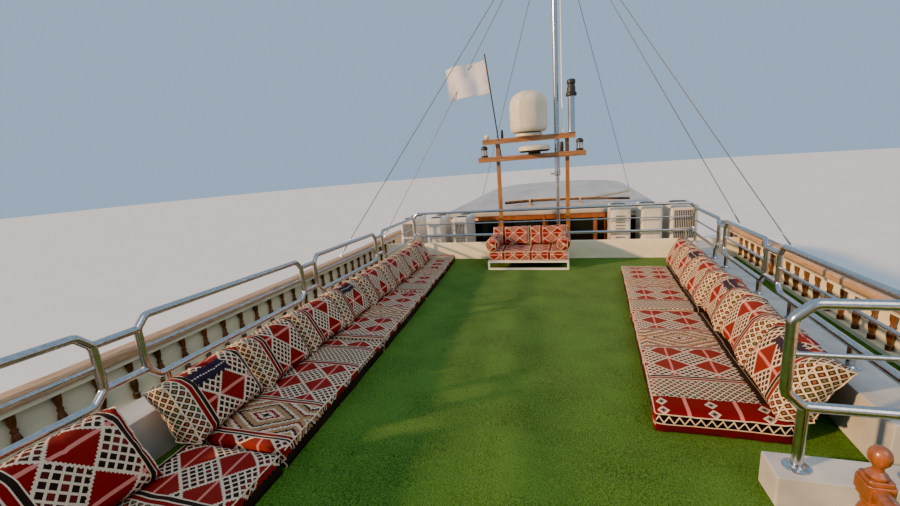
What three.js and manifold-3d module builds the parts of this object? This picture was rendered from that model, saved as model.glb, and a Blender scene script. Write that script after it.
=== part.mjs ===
// Motor dhow for passengers: planked hull, saloon under a turfed upper deck, raised forward saloon,
// pole mast with stays, timber goalpost frame, rails, floor seating and a bench.
// Millimetres, +X to the bow, +Y to port, +Z up. The origin is on the waterline amidships.
import * as THREE from 'three';
import { mergeVertices } from 'three/addons/utils/BufferGeometryUtils.js';
import Module from 'manifold-3d';

const wasm = await Module();
wasm.setup();

// Gaps
const SEAT_GAP = 0.3;
const PIN_GAP = 0.9;
const PIN_SIDES = 24;
const DOOR_GAP = 6;
const MERGE = 0.01;

// Reach of the boxes that only cut
const CUT_END = 14000;
const CUT_HALF = 4000;
const CUT_TOP = 6000;

// Hull: one row for each station from the transom to the stem head
// columns: x, half breadth at the cap, height of the keel line, height of the cap, fullness
const STATIONS = [
  [-12600, 2290, 450, 2640, 2.2],
  [-11000, 2530, -250, 2440, 2.3],
  [-9000, 2800, -900, 2300, 2.7],
  [-5000, 3190, -1450, 2060, 3.1],
  [-1000, 3450, -1600, 2060, 3.2],
  [3000, 3420, -1550, 2380, 3.0],
  [6000, 3080, -1300, 2760, 2.6],
  [8500, 2640, -600, 3080, 2.3],
  [10500, 1830, 600, 3330, 2.0],
  [12000, 860, 2000, 3530, 1.7],
  [12900, 90, 3200, 3650, 1.4],
];
const STATION_X = 0;
const STATION_HALF = 1;
const STATION_KEEL = 2;
const STATION_CAP = 3;
const STATION_FULLNESS = 4;
const GIRTH_STEPS = [0, 0.05, 0.12, 0.22, 0.36, 0.55, 0.78, 1];
const TOPSIDE_WALL = 110;

// Decks
const DECK_FRAMES = [-12500, -10500, -8500, -6500, -4500, -2500, 0];
const DECK_DATUM = -9000;
const DECK_HEIGHT = 3950;
const DECK_FALL = 0.0817;
const DECK_CURVE = 3.9e-6;
const HEADROOM = 2300;
const UPPER_AFT = -12500;
const UPPER_FORE = -20;
const SLAB_THICK = 140;
const TURF_THICK = 22;
const FORE_FLOOR = 2050;
const FORE_FLOOR_RISE = 0.045;
const WELL_AFT = [-12460, -300];
const WELL_FORE = [60, 11900];

// Rails and bulwark of the upper deck, heights above its turf
const RAIL_HALF = 1950;
const RAIL_SPREAD = 0.114;
const RAIL_BEND = 4.2e-6;
const RAIL_HEIGHTS = [478, 700, 907];
const RAIL_TUBE = 25;
const RAIL_SIDES = 4;
const TUBE_OVER = 0.6;
const RAIL_CORNER = 75;
const FORWARD_RAIL_HALF = 2620;
const FORWARD_RAIL_HEIGHTS = [495, 735, 970];
// heights of the links at the corners: at the forward rail, at the side rail
const CORNER_LINKS = [[605, 580], [860, 815]];
const CORNER_GAP = 8;
const FORWARD_LEG_INSET = 145;
const COAMING_HEIGHT = 320;
const COAMING_IN = 110;
const COAMING_OUT = 150;
const BOARD_OUT = 780;
const BOARD_THICK = 50;
const BOARD_HEIGHT = 420;
const CAP_HEIGHT = 500;
const CAP_IN = 90;
const CAP_OUT = 45;
const BULWARK_X = [-1040, -975];
const BULWARK_HEIGHT = 340;

const FLANGE_RADIUS = 58;
const FLANGE_THICK = 10;
const PILLAR_X = [-12300, -10400, -8300, -6100, -3900, -1700, -200];
const PILLAR_SIDE = 90;

// Stairwell in the upper deck and the stair in it
const STAIR_X = [-9300, -7450];
const STAIR_Y = [-2060, -1530];
const STAIR_COAMING_X = [-7015, -6827];
const STAIR_COAMING_Y = [-2150, -1472];
const STAIR_COAMING_HEIGHT = 165;
const STRINGER = 40;
const STAIR_CLEAR = 40;
const STEPS = 9;
// back and down from the stair head, ahead and up from the foot
const STAIR_TOP_PLACE = [150, 330];
const STAIR_FOOT_PLACE = [250, 140];
const STRINGER_OVER = 300;
const STRINGER_DEEP = 200;
const TREAD = 220;
const TREAD_THICK = 40;
// lowest, middle and top tube of the stair rail over the deck, its ends and its legs
const STAIR_RAIL_HEIGHTS = [328, 595, 840];
const STAIR_RAIL_Y = [-1505, -2110];
const STAIR_RAIL_LEGS = [-1585, -2040];
const NEWEL_PLACES = [[-7350, -1620], [-9150, -1450]];
const NEWEL_FOOT = 50;
const HANDRAIL_HEIGHT = 415;
const HANDRAIL_RADIUS = 28;

// Poles on the forward roof and the bearers under them
// columns: x, y of each pole's bends
const SPAR_POINTS = [
  [1050, 1000], [1420, 560], [1500, 0], [1400, -640], [1480, -1080], [1900, -1520], [2620, -2000],
];
const ROUGH_POLE_POINTS = [[980, 1000], [1230, 400], [1270, -200], [1180, -900], [850, -1800]];
const POLE_RADIUS = 35;
const POLE_SUNK = 2;
const BEARER_X = [1080, 1540];
const BEARER_Y = [420, -760];
const BEARER_WIDE = 70;
const BEARER_HIGH = 60;

// Cooling units: node, height, then middle and width of each unit
const COOLING = [
  ['port_cooling_units', 830, [[1667, 300], [2225, 290], [2826, 324]]],
  ['starboard_cooling_units', 915, [[-1430, 345], [-1957, 335], [-2485, 430]]],
];
const COOLER_X = [-930, -130];
const COOLER_LIFT = 40;
const COOLER_FOOT = 60;

// Engine, shaft, propeller and rudder
const SHAFT_FORE = new THREE.Vector3(-7350, 0, -330);
const SHAFT_AFT = new THREE.Vector3(-10620, 0, -950);
const SHAFT_RADIUS = 38;
const PROPELLER_RADIUS = 430;
const ENGINE_BAY = [-7400, -5300, -620, 620, -640];
const ENGINE = [-7250, -5500, -430, 430, -640, 420];
const HATCH_THICK = 50;
const RUDDER_X = -11300;
const RUDDER_STOCK = 60;
const RUDDER_PINTLE = 40;
const RUDDER_HALF = 45;
const KEEL_HALF = 110;
const HATCH_LAP = 60;
const HUB_TAIL = 120;
const HUB_RADIUS = 85;
const BLADES = 4;
const BLADE_THICK = 24;
const BLADE_WIDTH = 210;
const BLADE_PITCH = 0.45;

// Saloons
const SALOON_X = [-10400, -320];
const SIDE_DECK = 420;
const WALL_THICK = 90;
const WINDOW_SILL = 900;
const WINDOW_RISE = 800;
const SALOON_WINDOW = 1050;
const SALOON_WINDOW_X = [-9900, -8400, -6900, -5400, -3900, -2400];
const AFT_WINDOW = 700;
const AFT_WINDOW_Y = [-1500, 800];
const FORE_WINDOW = 1000;
const FORE_WINDOW_X = [700, 2100, 5300];
const FORE_BEND_X = 6800;
const FORE_CHAMFER = 500;
const FRONT_HALF = 1700;
const FRONT_WINDOW = 700;
const FRONT_WINDOW_Y = [-1150, -350, 450];
const FRONT_RISE = 650;
const AFT_GLAZING = 980;
const AFT_GLAZING_Y = [-2050, -1020, 10, 1040];
const AFT_GLAZING_Z = [3620, 4150];
const GLASS_THICK = 12;
const GLASS_LAP = 40;
const GLASS_FALL = 140;
const SIDE_DOOR_X = [4200, 4900];
const SIDE_DOOR_HEIGHT = 1730;
const SIDE_DOOR_LAP = 50;
const FORE_SALOON_X = [120, 9000];
const FORE_HALF = 2190;
const ROOF_TOP = 4350;
const ROOF_THICK = 90;
const ROOF_X = [40, 9500];
const ROOF_HALF = 2300;
const DOOR_WIDTH = 700;
const DOOR_HEIGHT = 1880;
const DOOR_THICK = 45;
const DOOR_SILL = 110;
const KNUCKLE_RADIUS = 11.5;
const KNUCKLE_LENGTH = 120;
const KNUCKLE_HEIGHTS = [250, 900, 1550];
const STRAP_LENGTH = 90;
const WHEEL_RADIUS = 300;
const SPOKES = 6;

// Mast, goalpost frame and what they carry
const MAST = [-555, -300];
const MAST_TOP = 9830;
const MAST_COLLAR = 9630;
const BAND_HEIGHT = 60;
const BAND_RADIUS = [51, 80];
const STAY_START = 66;
const MAST_RADIUS = [52, 45];
const HEEL_RADIUS = 38;
const HEEL_TOP = 5180;
const HEEL_CLAMP = [5110, 5190, 62];
const STEP_RADIUS = 105;
const STEP_RISE = 60;
const MAST_BAND_RADIUS = 70;
const GOALPOST_X = -640;
const GOALPOST_Y = [-490, 840];
const GOALPOST_SIDE = 74;
const GOALPOST_TOP = 5880;
// columns: lowest y, highest y, height
const CROSSBARS = [
  [-830, 1220, 5515],
  [-645, 1115, 5853],
];
const CROSSBAR_SIDE = 98;
const CROSSBAR_REACH = 130;
const LANTERN_BACK = 90;
const LANTERN_Y = [-718, 1098];
const LANTERN_RADIUS = 68;
const LANTERN_HEIGHT = 225;
const STAY_X_ON_CAP = [-3000, -1000];
const STAY_ON_ROOF = [4000, 2180];
const STAY_RADIUS = 9;

// Seating
const MATTRESS_THICK = 150;
const CUSHION_THICK = 210;
const CUSHION_RISE = 400;
const CUSHION_LEAN = 170;
const CUSHION_SLOPE = 60;
const BENCH_X = [-1950, -1230];
const BENCH_Y = [-505, 905];
const BENCH_TUBE = 30;
const BENCH_BASE = 160;
const BENCH_SEAT = 170;
const BENCH_PAD = 170;
const BENCH_BACK = 530;
const BOLSTER_RADIUS = 120;
const BOLSTER_INSET = 85;

const boat = new THREE.Group();

// Colours, roughness and metalness of the finishes
const FINISHES = {
  white: [0xe9e6dc, 0.5, 0],
  hull: [0x6b4226, 0.6, 0],
  varnish: [0xb4602a, 0.35, 0],
  timber: [0xa98d68, 0.6, 0],
  steel: [0xb9bcc0, 0.25, 1],
  iron: [0x4a4d50, 0.6, 0.6],
  bronze: [0xa0793a, 0.35, 1],
  glass: [0x1a2628, 0.1, 0],
  turf: [0x3c6a12, 0.95, 0],
  fabric: [0x9a2a24, 0.9, 0],
  canvas: [0xe8e6ea, 0.8, 0],
  dome: [0xdcd8cc, 0.45, 0],
};

function add(name, geometry, finish) {
  const [color, roughness, metalness] = FINISHES[finish];
  const material = new THREE.MeshStandardMaterial({ color, roughness, metalness });
  const mesh = new THREE.Mesh(geometry, material);
  mesh.name = name;
  boat.add(mesh);
}

// Solids: a closed geometry as a manifold, and back
function solid(geometry) {
  const bare = geometry.clone();
  bare.deleteAttribute('normal');
  bare.deleteAttribute('uv');
  const merged = mergeVertices(bare, MERGE);
  const vertProperties = new Float32Array(merged.attributes.position.array);
  const triVerts = new Uint32Array(merged.index.array);
  return new wasm.Manifold(new wasm.Mesh({ numProp: 3, vertProperties, triVerts }));
}

function geometryOf(manifold) {
  const mesh = manifold.getMesh();
  const geometry = new THREE.BufferGeometry();
  geometry.setAttribute('position', new THREE.BufferAttribute(mesh.vertProperties, 3));
  geometry.setIndex(new THREE.BufferAttribute(mesh.triVerts, 1));
  geometry.computeVertexNormals();
  return geometry;
}

function largest(manifold) {
  return manifold.decompose().sort((a, b) => b.volume() - a.volume())[0];
}

function join(...geometries) {
  return geometries.map(solid).reduce((whole, next) => whole.add(next));
}

function joined(...geometries) {
  return geometryOf(join(...geometries));
}

// Basic shapes by their limits or ends
function box(x0, x1, y0, y1, z0, z1) {
  const geometry = new THREE.BoxGeometry(x1 - x0, y1 - y0, z1 - z0);
  return geometry.translate((x0 + x1) / 2, (y0 + y1) / 2, (z0 + z1) / 2);
}

function point(x, y, z) {
  return new THREE.Vector3(x, y, z);
}

function bar(start, end, radius, sides = 6, endRadius = radius) {
  const span = new THREE.Vector3().subVectors(end, start);
  const geometry = new THREE.CylinderGeometry(endRadius, radius, span.length(), sides);
  const turn = new THREE.Quaternion().setFromUnitVectors(new THREE.Vector3(0, 1, 0), span.normalize());
  geometry.applyQuaternion(turn);
  const middle = new THREE.Vector3().addVectors(start, end).multiplyScalar(0.5);
  return geometry.translate(middle.x, middle.y, middle.z);
}

function turned(profile, sides) {
  const outline = profile.map(([r, z]) => new THREE.Vector2(r, z));
  return new THREE.LatheGeometry(outline, sides).rotateX(Math.PI / 2);
}

// The triangles that close a section, wound the way its points run
function capFaces(section) {
  const flat = section.map((p) => new THREE.Vector2(p.y, p.z));
  const turn = Math.sign(THREE.ShapeUtils.area(flat));
  return THREE.ShapeUtils.triangulateShape(flat, []).map(([a, b, c]) => (
    Math.sign(THREE.ShapeUtils.area([flat[a], flat[b], flat[c]])) === turn ? [a, b, c] : [a, c, b]
  ));
}

// A loft through sections that have the same number of points, closed at both ends
function loft(sections) {
  const count = sections[0].length;
  const points = sections.flat();
  const faces = [];
  for (let i = 0; i + 1 < sections.length; i += 1) {
    for (let j = 0; j < count; j += 1) {
      const k = (j + 1) % count;
      faces.push([i * count + j, i * count + k, (i + 1) * count + k]);
      faces.push([i * count + j, (i + 1) * count + k, (i + 1) * count + j]);
    }
  }
  const last = (sections.length - 1) * count;
  faces.push(...capFaces(sections[0]).map(([a, b, c]) => [a, c, b]));
  faces.push(...capFaces(sections[sections.length - 1]).map((face) => face.map((j) => last + j)));
  let volume = 0;
  for (const [a, b, c] of faces) {
    volume += points[a].dot(new THREE.Vector3().crossVectors(points[b], points[c]));
  }
  const index = faces.flatMap(([a, b, c]) => (volume > 0 ? [a, b, c] : [a, c, b]));
  const geometry = new THREE.BufferGeometry();
  geometry.setFromPoints(points);
  geometry.setIndex(index);
  geometry.computeVertexNormals();
  return geometry;
}

// A long piece of four-sided section, its sides and heights given as functions of x
function strip(xs, nearY, farY, bottom, top) {
  return loft(xs.map((x) => [
    new THREE.Vector3(x, nearY(x), bottom(x)),
    new THREE.Vector3(x, farY(x), bottom(x)),
    new THREE.Vector3(x, farY(x), top(x)),
    new THREE.Vector3(x, nearY(x), top(x)),
  ]));
}

// An outline in the XZ plane made a slab between two Y values
function slabXZ(outline, y0, y1) {
  const shape = new THREE.Shape(outline.map(([x, z]) => new THREE.Vector2(x, z)));
  const geometry = new THREE.ExtrudeGeometry(shape, { depth: y1 - y0, bevelEnabled: false });
  return geometry.rotateX(Math.PI / 2).translate(0, y1, 0);
}

// Curves of the boat
// The deck and its edges are straight between these frames, so that pieces seat on each other
function betweenFrames(x, curve) {
  let i = DECK_FRAMES.findIndex((frame) => frame >= x);
  i = i < 0 ? DECK_FRAMES.length - 1 : Math.max(1, i);
  const [aft, fore] = [DECK_FRAMES[i - 1], DECK_FRAMES[i]];
  return curve(aft) + ((curve(fore) - curve(aft)) * (x - aft)) / (fore - aft);
}

function deckXs(start, end) {
  return [start, ...DECK_FRAMES.filter((x) => x > start + 1 && x < end - 1), end];
}

function deckZ(x) {
  return betweenFrames(x, (frame) => {
    const run = frame - DECK_DATUM;
    return DECK_HEIGHT - DECK_FALL * run + DECK_CURVE * run * run;
  });
}

function railHalf(x) {
  return betweenFrames(x, (frame) => {
    const run = frame - DECK_DATUM;
    return RAIL_HALF + RAIL_SPREAD * run - RAIL_BEND * run * run;
  });
}

function outerHalf(x) {
  return railHalf(x) + BOARD_OUT;
}

function mainDeckZ(x) {
  return deckZ(x) - HEADROOM;
}

function foreDeckZ(x) {
  return FORE_FLOOR + FORE_FLOOR_RISE * Math.max(0, x);
}

function stationAt(x) {
  const last = STATIONS.length - 2;
  let i = STATIONS.findIndex((row) => row[STATION_X] > x) - 1;
  i = i < -1 ? last : Math.max(0, i);
  const [a, b] = [STATIONS[i], STATIONS[i + 1]];
  const t = (x - a[STATION_X]) / (b[STATION_X] - a[STATION_X]);
  return a.map((value, column) => value + (b[column] - value) * t);
}

function capZ(x) {
  return stationAt(x)[STATION_CAP];
}

function hullHalf(x, z) {
  const row = stationAt(x);
  const s = Math.min(1, Math.max(0, (z - row[STATION_KEEL]) / (row[STATION_CAP] - row[STATION_KEEL])));
  return row[STATION_HALF] * (1 - (1 - s) ** row[STATION_FULLNESS]);
}

// Hull
function hullBody(grow) {
  return loft(STATIONS.map(([x, half, keel, cap, fullness]) => {
    const side = GIRTH_STEPS.map((s) => [
      (half + grow) * (1 - (1 - s) ** fullness) + (s === 0 ? 0 : grow),
      keel + (cap - keel) * s - (s === 0 ? grow : 0),
    ]);
    const port = side.map(([y, z]) => new THREE.Vector3(x, y, z));
    const starboard = side.slice(1).reverse().map(([y, z]) => new THREE.Vector3(x, -y, z));
    return [...port, ...starboard];
  }));
}

function well([start, end], floor) {
  const inside = [...STATIONS.map((row) => row[STATION_X]), ...DECK_FRAMES].sort((a, b) => a - b);
  const xs = [start, ...inside.filter((x, i) => x > start + 1 && x < end - 1 && x !== inside[i - 1]), end];
  return loft(xs.map((x) => {
    const levels = [floor(x), (floor(x) + stationAt(x)[STATION_CAP]) / 2, stationAt(x)[STATION_CAP]];
    const side = levels.map((z) => [Math.max(60, hullHalf(x, z) - TOPSIDE_WALL), z]);
    side.push([side[2][0], side[2][1] + 300]);
    const port = side.map(([y, z]) => new THREE.Vector3(x, y, z));
    const starboard = side.slice().reverse().map(([y, z]) => new THREE.Vector3(x, -y, z));
    return [...port, ...starboard];
  }));
}

const [BAY_AFT, BAY_FORE, BAY_STARBOARD, BAY_PORT, BAY_FLOOR] = ENGINE_BAY;
const shaftBore = bar(SHAFT_FORE, SHAFT_AFT, SHAFT_RADIUS + PIN_GAP, PIN_SIDES);
const stockBore = bar(point(RUDDER_X, 0, -900), point(RUDDER_X, 0, 900), RUDDER_STOCK + PIN_GAP, PIN_SIDES);
const wholeHull = solid(hullBody(0))
  .subtract(solid(well(WELL_AFT, mainDeckZ)))
  .subtract(solid(well(WELL_FORE, foreDeckZ)))
  .subtract(solid(box(BAY_AFT, BAY_FORE, BAY_STARBOARD, BAY_PORT, BAY_FLOOR, CUT_TOP)))
  .subtract(solid(shaftBore))
  .subtract(solid(stockBore));

// The space over a deck, from its surface up
function overDeck(start, end, floor, gap) {
  const xs = deckXs(start, end);
  return solid(strip(xs, () => -CUT_HALF, () => CUT_HALF, (x) => floor(x) + gap, () => CUT_TOP));
}
add('hull', geometryOf(largest(wholeHull
  .subtract(overDeck(-CUT_END, WELL_AFT[1], mainDeckZ, 0))
  .subtract(overDeck(WELL_FORE[0], CUT_END, foreDeckZ, 0)))), 'hull');
add('aft_topsides', geometryOf(largest(
  wholeHull.intersect(overDeck(-CUT_END, WELL_AFT[1] - SEAT_GAP, mainDeckZ, SEAT_GAP)),
)), 'hull');
add('fore_topsides', geometryOf(largest(
  wholeHull.intersect(overDeck(WELL_FORE[0] + SEAT_GAP, CUT_END, foreDeckZ, SEAT_GAP)),
)), 'hull');

// Keel, deadwood and stem in one timber, cut to the planking, with the propeller's aperture
const KEEL_OUTLINE = [
  [-11550, -1850],
  [5200, -1850],
  [7600, -1420],
  [9700, -300],
  [11500, 1250],
  [13050, 3150],
  [13150, 4000],
  [12850, 4000],
  [12700, 3000],
  [9000, 200],
  [5000, -900],
  [-9000, -500],
  [-10350, -100],
  [-10350, -1650],
  [-11550, -1650],
];
const [HEEL_LOW, HEEL_HIGH] = [-1780, -1500];
const heelBore = bar(
  point(RUDDER_X, 0, HEEL_LOW),
  point(RUDDER_X, 0, HEEL_HIGH),
  RUDDER_PINTLE + PIN_GAP,
  PIN_SIDES,
);
const keel = solid(slabXZ(KEEL_OUTLINE, -KEEL_HALF, KEEL_HALF))
  .subtract(solid(hullBody(SEAT_GAP)))
  .subtract(solid(shaftBore))
  .subtract(solid(heelBore));
add('keel', geometryOf(largest(keel)), 'hull');

// Engine on the floor of its bay
const [ENGINE_AFT, ENGINE_FORE, ENGINE_STARBOARD, ENGINE_PORT, ENGINE_BED, ENGINE_TOP] = ENGINE;
const engineFoot = ENGINE_BED + SEAT_GAP;
add('engine', box(ENGINE_AFT, ENGINE_FORE, ENGINE_STARBOARD, ENGINE_PORT, engineFoot, ENGINE_TOP), 'iron');

// The hatch lies on the saloon floor over the engine bay, hinged along its starboard edge
add('engine_hatch', strip(
  deckXs(BAY_AFT - HATCH_LAP, BAY_FORE + HATCH_LAP),
  () => BAY_STARBOARD - HATCH_LAP,
  () => BAY_PORT + HATCH_LAP,
  (x) => mainDeckZ(x) + SEAT_GAP,
  (x) => mainDeckZ(x) + HATCH_THICK,
), 'timber');

// Propeller with its shaft
function propeller() {
  const axis = new THREE.Vector3().subVectors(SHAFT_AFT, SHAFT_FORE).normalize();
  const tail = SHAFT_AFT.clone().addScaledVector(axis, HUB_TAIL);
  const parts = [
    bar(SHAFT_FORE, tail, SHAFT_RADIUS, PIN_SIDES),
    bar(SHAFT_AFT.clone().addScaledVector(axis, -HUB_TAIL), tail, HUB_RADIUS, 12, HUB_RADIUS * 0.7),
  ];
  for (let i = 0; i < BLADES; i += 1) {
    const blade = new THREE.BoxGeometry(BLADE_THICK, BLADE_WIDTH, PROPELLER_RADIUS - HUB_RADIUS / 2);
    blade.translate(0, 0, HUB_RADIUS / 2 + (PROPELLER_RADIUS - HUB_RADIUS / 2) / 2);
    blade.rotateZ(BLADE_PITCH);
    blade.rotateX((i * 2 * Math.PI) / BLADES);
    blade.applyQuaternion(new THREE.Quaternion().setFromUnitVectors(point(-1, 0, 0), axis));
    blade.translate(SHAFT_AFT.x, SHAFT_AFT.y, SHAFT_AFT.z);
    parts.push(blade);
  }
  return joined(...parts);
}
add('propeller', propeller(), 'bronze');

// Rudder blade on its stock, with the heel pintle under it
const RUDDER_OUTLINE = [
  [RUDDER_X - 620, -1560],
  [RUDDER_X + 130, -1640],
  [RUDDER_X + 130, -520],
  [RUDDER_X - 180, -430],
  [RUDDER_X - 620, -480],
];
add('rudder', joined(
  slabXZ(RUDDER_OUTLINE, -RUDDER_HALF, RUDDER_HALF),
  bar(point(RUDDER_X, 0, -1600), point(RUDDER_X, 0, 850), RUDDER_STOCK, PIN_SIDES),
  bar(point(RUDDER_X, 0, -1760), point(RUDDER_X, 0, -1500), RUDDER_PINTLE, PIN_SIDES),
), 'hull');

// Upper deck with the pillars that stand on the topsides
const slabUnder = (x) => deckZ(x) - TURF_THICK - SLAB_THICK;
const slabTop = (x) => deckZ(x) - TURF_THICK;
function upperDeck() {
  const parts = [strip(
    deckXs(UPPER_AFT, UPPER_FORE),
    (x) => -outerHalf(x) - CAP_OUT,
    (x) => outerHalf(x) + CAP_OUT,
    slabUnder,
    slabTop,
  )];
  for (const x of PILLAR_X) {
    const y = stationAt(x)[STATION_HALF] - TOPSIDE_WALL / 2;
    const foot = Math.max(capZ(x - PILLAR_SIDE / 2), capZ(x + PILLAR_SIDE / 2)) + SEAT_GAP;
    for (const side of [-1, 1]) {
      const pillar = new THREE.BoxGeometry(PILLAR_SIDE, PILLAR_SIDE, slabUnder(x) + 60 - foot);
      parts.push(pillar.translate(x, side * y, (slabUnder(x) + 60 + foot) / 2));
    }
  }
  return join(...parts);
}
const stairCut = solid(box(STAIR_X[0], STAIR_X[1], STAIR_Y[0], STAIR_Y[1], HEADROOM, CUT_TOP));
add('upper_deck', geometryOf(upperDeck().subtract(stairCut)), 'timber');

const turf = solid(strip(
  deckXs(UPPER_AFT + BOARD_THICK + SEAT_GAP, BULWARK_X[0] - SEAT_GAP),
  (x) => -outerHalf(x) + BOARD_THICK + SEAT_GAP,
  (x) => outerHalf(x) - BOARD_THICK - SEAT_GAP,
  (x) => slabTop(x) + SEAT_GAP,
  deckZ,
));
add('turf', geometryOf(turf.subtract(stairCut)), 'turf');

// Side boards under a cap rail, joined round the stern
function balustrade() {
  const parts = [];
  const xs = deckXs(UPPER_AFT, UPPER_FORE);
  for (const side of [-1, 1]) {
    parts.push(strip(
      xs,
      (x) => side * (outerHalf(x) - BOARD_THICK),
      (x) => side * outerHalf(x),
      (x) => slabTop(x) + SEAT_GAP,
      (x) => deckZ(x) + (BOARD_HEIGHT + CAP_HEIGHT) / 2,
    ));
    parts.push(strip(
      xs,
      (x) => side * (outerHalf(x) - CAP_IN),
      (x) => side * (outerHalf(x) + CAP_OUT),
      (x) => deckZ(x) + BOARD_HEIGHT,
      (x) => deckZ(x) + CAP_HEIGHT,
    ));
  }
  const stern = deckXs(UPPER_AFT, UPPER_AFT + BOARD_THICK);
  parts.push(strip(
    stern,
    () => -outerHalf(UPPER_AFT) + 1,
    () => outerHalf(UPPER_AFT) - 1,
    (x) => slabTop(x) + SEAT_GAP,
    (x) => deckZ(x) + (BOARD_HEIGHT + CAP_HEIGHT) / 2,
  ));
  parts.push(strip(
    deckXs(UPPER_AFT, UPPER_AFT + CAP_IN + CAP_OUT),
    () => -outerHalf(UPPER_AFT) + 1,
    () => outerHalf(UPPER_AFT) - 1,
    (x) => deckZ(x) + BOARD_HEIGHT,
    (x) => deckZ(x) + CAP_HEIGHT,
  ));
  return joined(...parts);
}
add('balustrade', balustrade(), 'white');

add('forward_bulwark', strip(
  BULWARK_X,
  () => BOARD_THICK + SEAT_GAP - outerHalf(BULWARK_X[0]),
  () => outerHalf(BULWARK_X[0]) - BOARD_THICK - SEAT_GAP,
  (x) => slabTop(x) + SEAT_GAP,
  () => deckZ(BULWARK_X[0]) + BULWARK_HEIGHT,
), 'white');

// Coamings stand on the turf under the side rails: name, side, aft end, fore end
const COAMINGS = [
  ['port_coaming', 1, -12200, -1100],
  ['starboard_coaming', -1, -6700, -1100],
];
for (const [name, side, aft, fore] of COAMINGS) {
  add(name, strip(
    deckXs(aft, fore),
    (x) => side * (railHalf(x) - COAMING_IN),
    (x) => side * (railHalf(x) + COAMING_OUT),
    (x) => deckZ(x) + SEAT_GAP,
    (x) => deckZ(x) + COAMING_HEIGHT,
  ), 'white');
}

// Rails: closed loops of tube with cut corners, on legs, joined by short links
function tubeRun(points, radius = RAIL_TUBE) {
  const parts = [];
  for (let i = 0; i + 1 < points.length; i += 1) {
    const [start, end] = [points[i], points[i + 1]];
    const along = new THREE.Vector3().subVectors(end, start).normalize().multiplyScalar(radius * TUBE_OVER);
    parts.push(bar(start.clone().sub(along), end.clone().add(along), radius, RAIL_SIDES));
  }
  return parts;
}

function railPanel(place, [start, end], legs, seat, [low, middle, top] = RAIL_HEIGHTS) {
  const cut = RAIL_CORNER * Math.sign(end - start);
  const loop = [
    place(start + cut, top),
    place(end - cut, top),
    place(end, top - RAIL_CORNER),
    place(end, low + RAIL_CORNER),
    place(end - cut, low),
    place(start + cut, low),
    place(start, low + RAIL_CORNER),
    place(start, top - RAIL_CORNER),
    place(start + cut, top),
  ];
  const parts = tubeRun(loop);
  parts.push(...tubeRun([place(start, middle), place(end, middle)], RAIL_TUBE / 2));
  for (const at of legs) {
    const foot = place(at, seat);
    foot.z = SEAT_GAP + Math.max(place(at - FLANGE_RADIUS, seat).z, place(at + FLANGE_RADIUS, seat).z);
    const start = foot.clone().setZ(foot.z + FLANGE_THICK / 2);
    parts.push(bar(start, place(at, low), RAIL_TUBE, RAIL_SIDES));
    parts.push(flange(foot));
  }
  return parts;
}

function flange(foot) {
  const disc = new THREE.CylinderGeometry(FLANGE_RADIUS, FLANGE_RADIUS, FLANGE_THICK, 8);
  disc.rotateX(Math.PI / 2);
  return disc.translate(foot.x, foot.y, foot.z + FLANGE_THICK / 2);
}

// columns: node, side, then the ends of each panel and its legs
const SIDE_RAILS = [
  ['port_rail', 1, [
    [-12000, -9730, -11870, -9860],
    [-9450, -7500, -9320, -7630],
    [-7220, -5300, -7090, -5430],
    [-5020, -3180, -4890, -3310],
    [-2900, -1150, -2770, -1280],
  ]],
  ['starboard_rail', -1, [
    [-6600, -4740, -6020, -5070],
    [-4410, -2950, -4280, -3080],
    [-2640, -1150, -2510, -1280],
  ]],
];
for (const [name, side, panels] of SIDE_RAILS) {
  const place = (x, height) => point(x, side * railHalf(x), deckZ(x) + height);
  const parts = [];
  panels.forEach(([aft, fore, ...legs], i) => {
    parts.push(...railPanel(place, [aft, fore], legs, COAMING_HEIGHT));
    if (i > 0) {
      for (const height of [RAIL_HEIGHTS[2] - RAIL_CORNER, RAIL_HEIGHTS[0] + RAIL_CORNER]) {
        parts.push(...tubeRun([place(panels[i - 1][1], height), place(aft, height)]));
      }
    }
  });
  add(name, joined(...parts), 'steel');
}

const bulwarkMiddle = (BULWARK_X[0] + BULWARK_X[1]) / 2;
const forwardPlace = (y, height) => point(bulwarkMiddle, y, deckZ(BULWARK_X[0]) + height);
const forwardEnds = [-FORWARD_RAIL_HALF, FORWARD_RAIL_HALF];
const forwardLegs = forwardEnds.map((y) => y - FORWARD_LEG_INSET * Math.sign(y));
const forwardRail = railPanel(
  forwardPlace,
  forwardEnds,
  forwardLegs,
  BULWARK_HEIGHT,
  FORWARD_RAIL_HEIGHTS,
);
const sideEnd = SIDE_RAILS[0][2][SIDE_RAILS[0][2].length - 1][1];
for (const y of forwardEnds) {
  for (const [near, far] of CORNER_LINKS) {
    const start = forwardPlace(y, near);
    const end = point(sideEnd, Math.sign(y) * railHalf(sideEnd), deckZ(sideEnd) + far);
    const clear = new THREE.Vector3().subVectors(start, end).setLength(RAIL_TUBE + CORNER_GAP);
    forwardRail.push(bar(start, end.add(clear), RAIL_TUBE, RAIL_SIDES));
  }
}
add('forward_rail', joined(...forwardRail), 'steel');

// Stair head at the starboard quarter: coaming, rail, steps and the turned newels with their handrail
const stairTop = deckZ(STAIR_COAMING_X[0]);
add('stair_coaming', strip(
  STAIR_COAMING_X,
  () => STAIR_COAMING_Y[0],
  () => STAIR_COAMING_Y[1],
  (x) => deckZ(x) + SEAT_GAP,
  () => stairTop + STAIR_COAMING_HEIGHT,
), 'white');
const stairRailX = (STAIR_COAMING_X[0] + STAIR_COAMING_X[1]) / 2;
const stairRailPlace = (y, height) => point(stairRailX, y, stairTop + height);
add('stair_rail', joined(...railPanel(
  stairRailPlace,
  STAIR_RAIL_Y,
  STAIR_RAIL_LEGS,
  STAIR_COAMING_HEIGHT,
  STAIR_RAIL_HEIGHTS,
)), 'steel');

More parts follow.
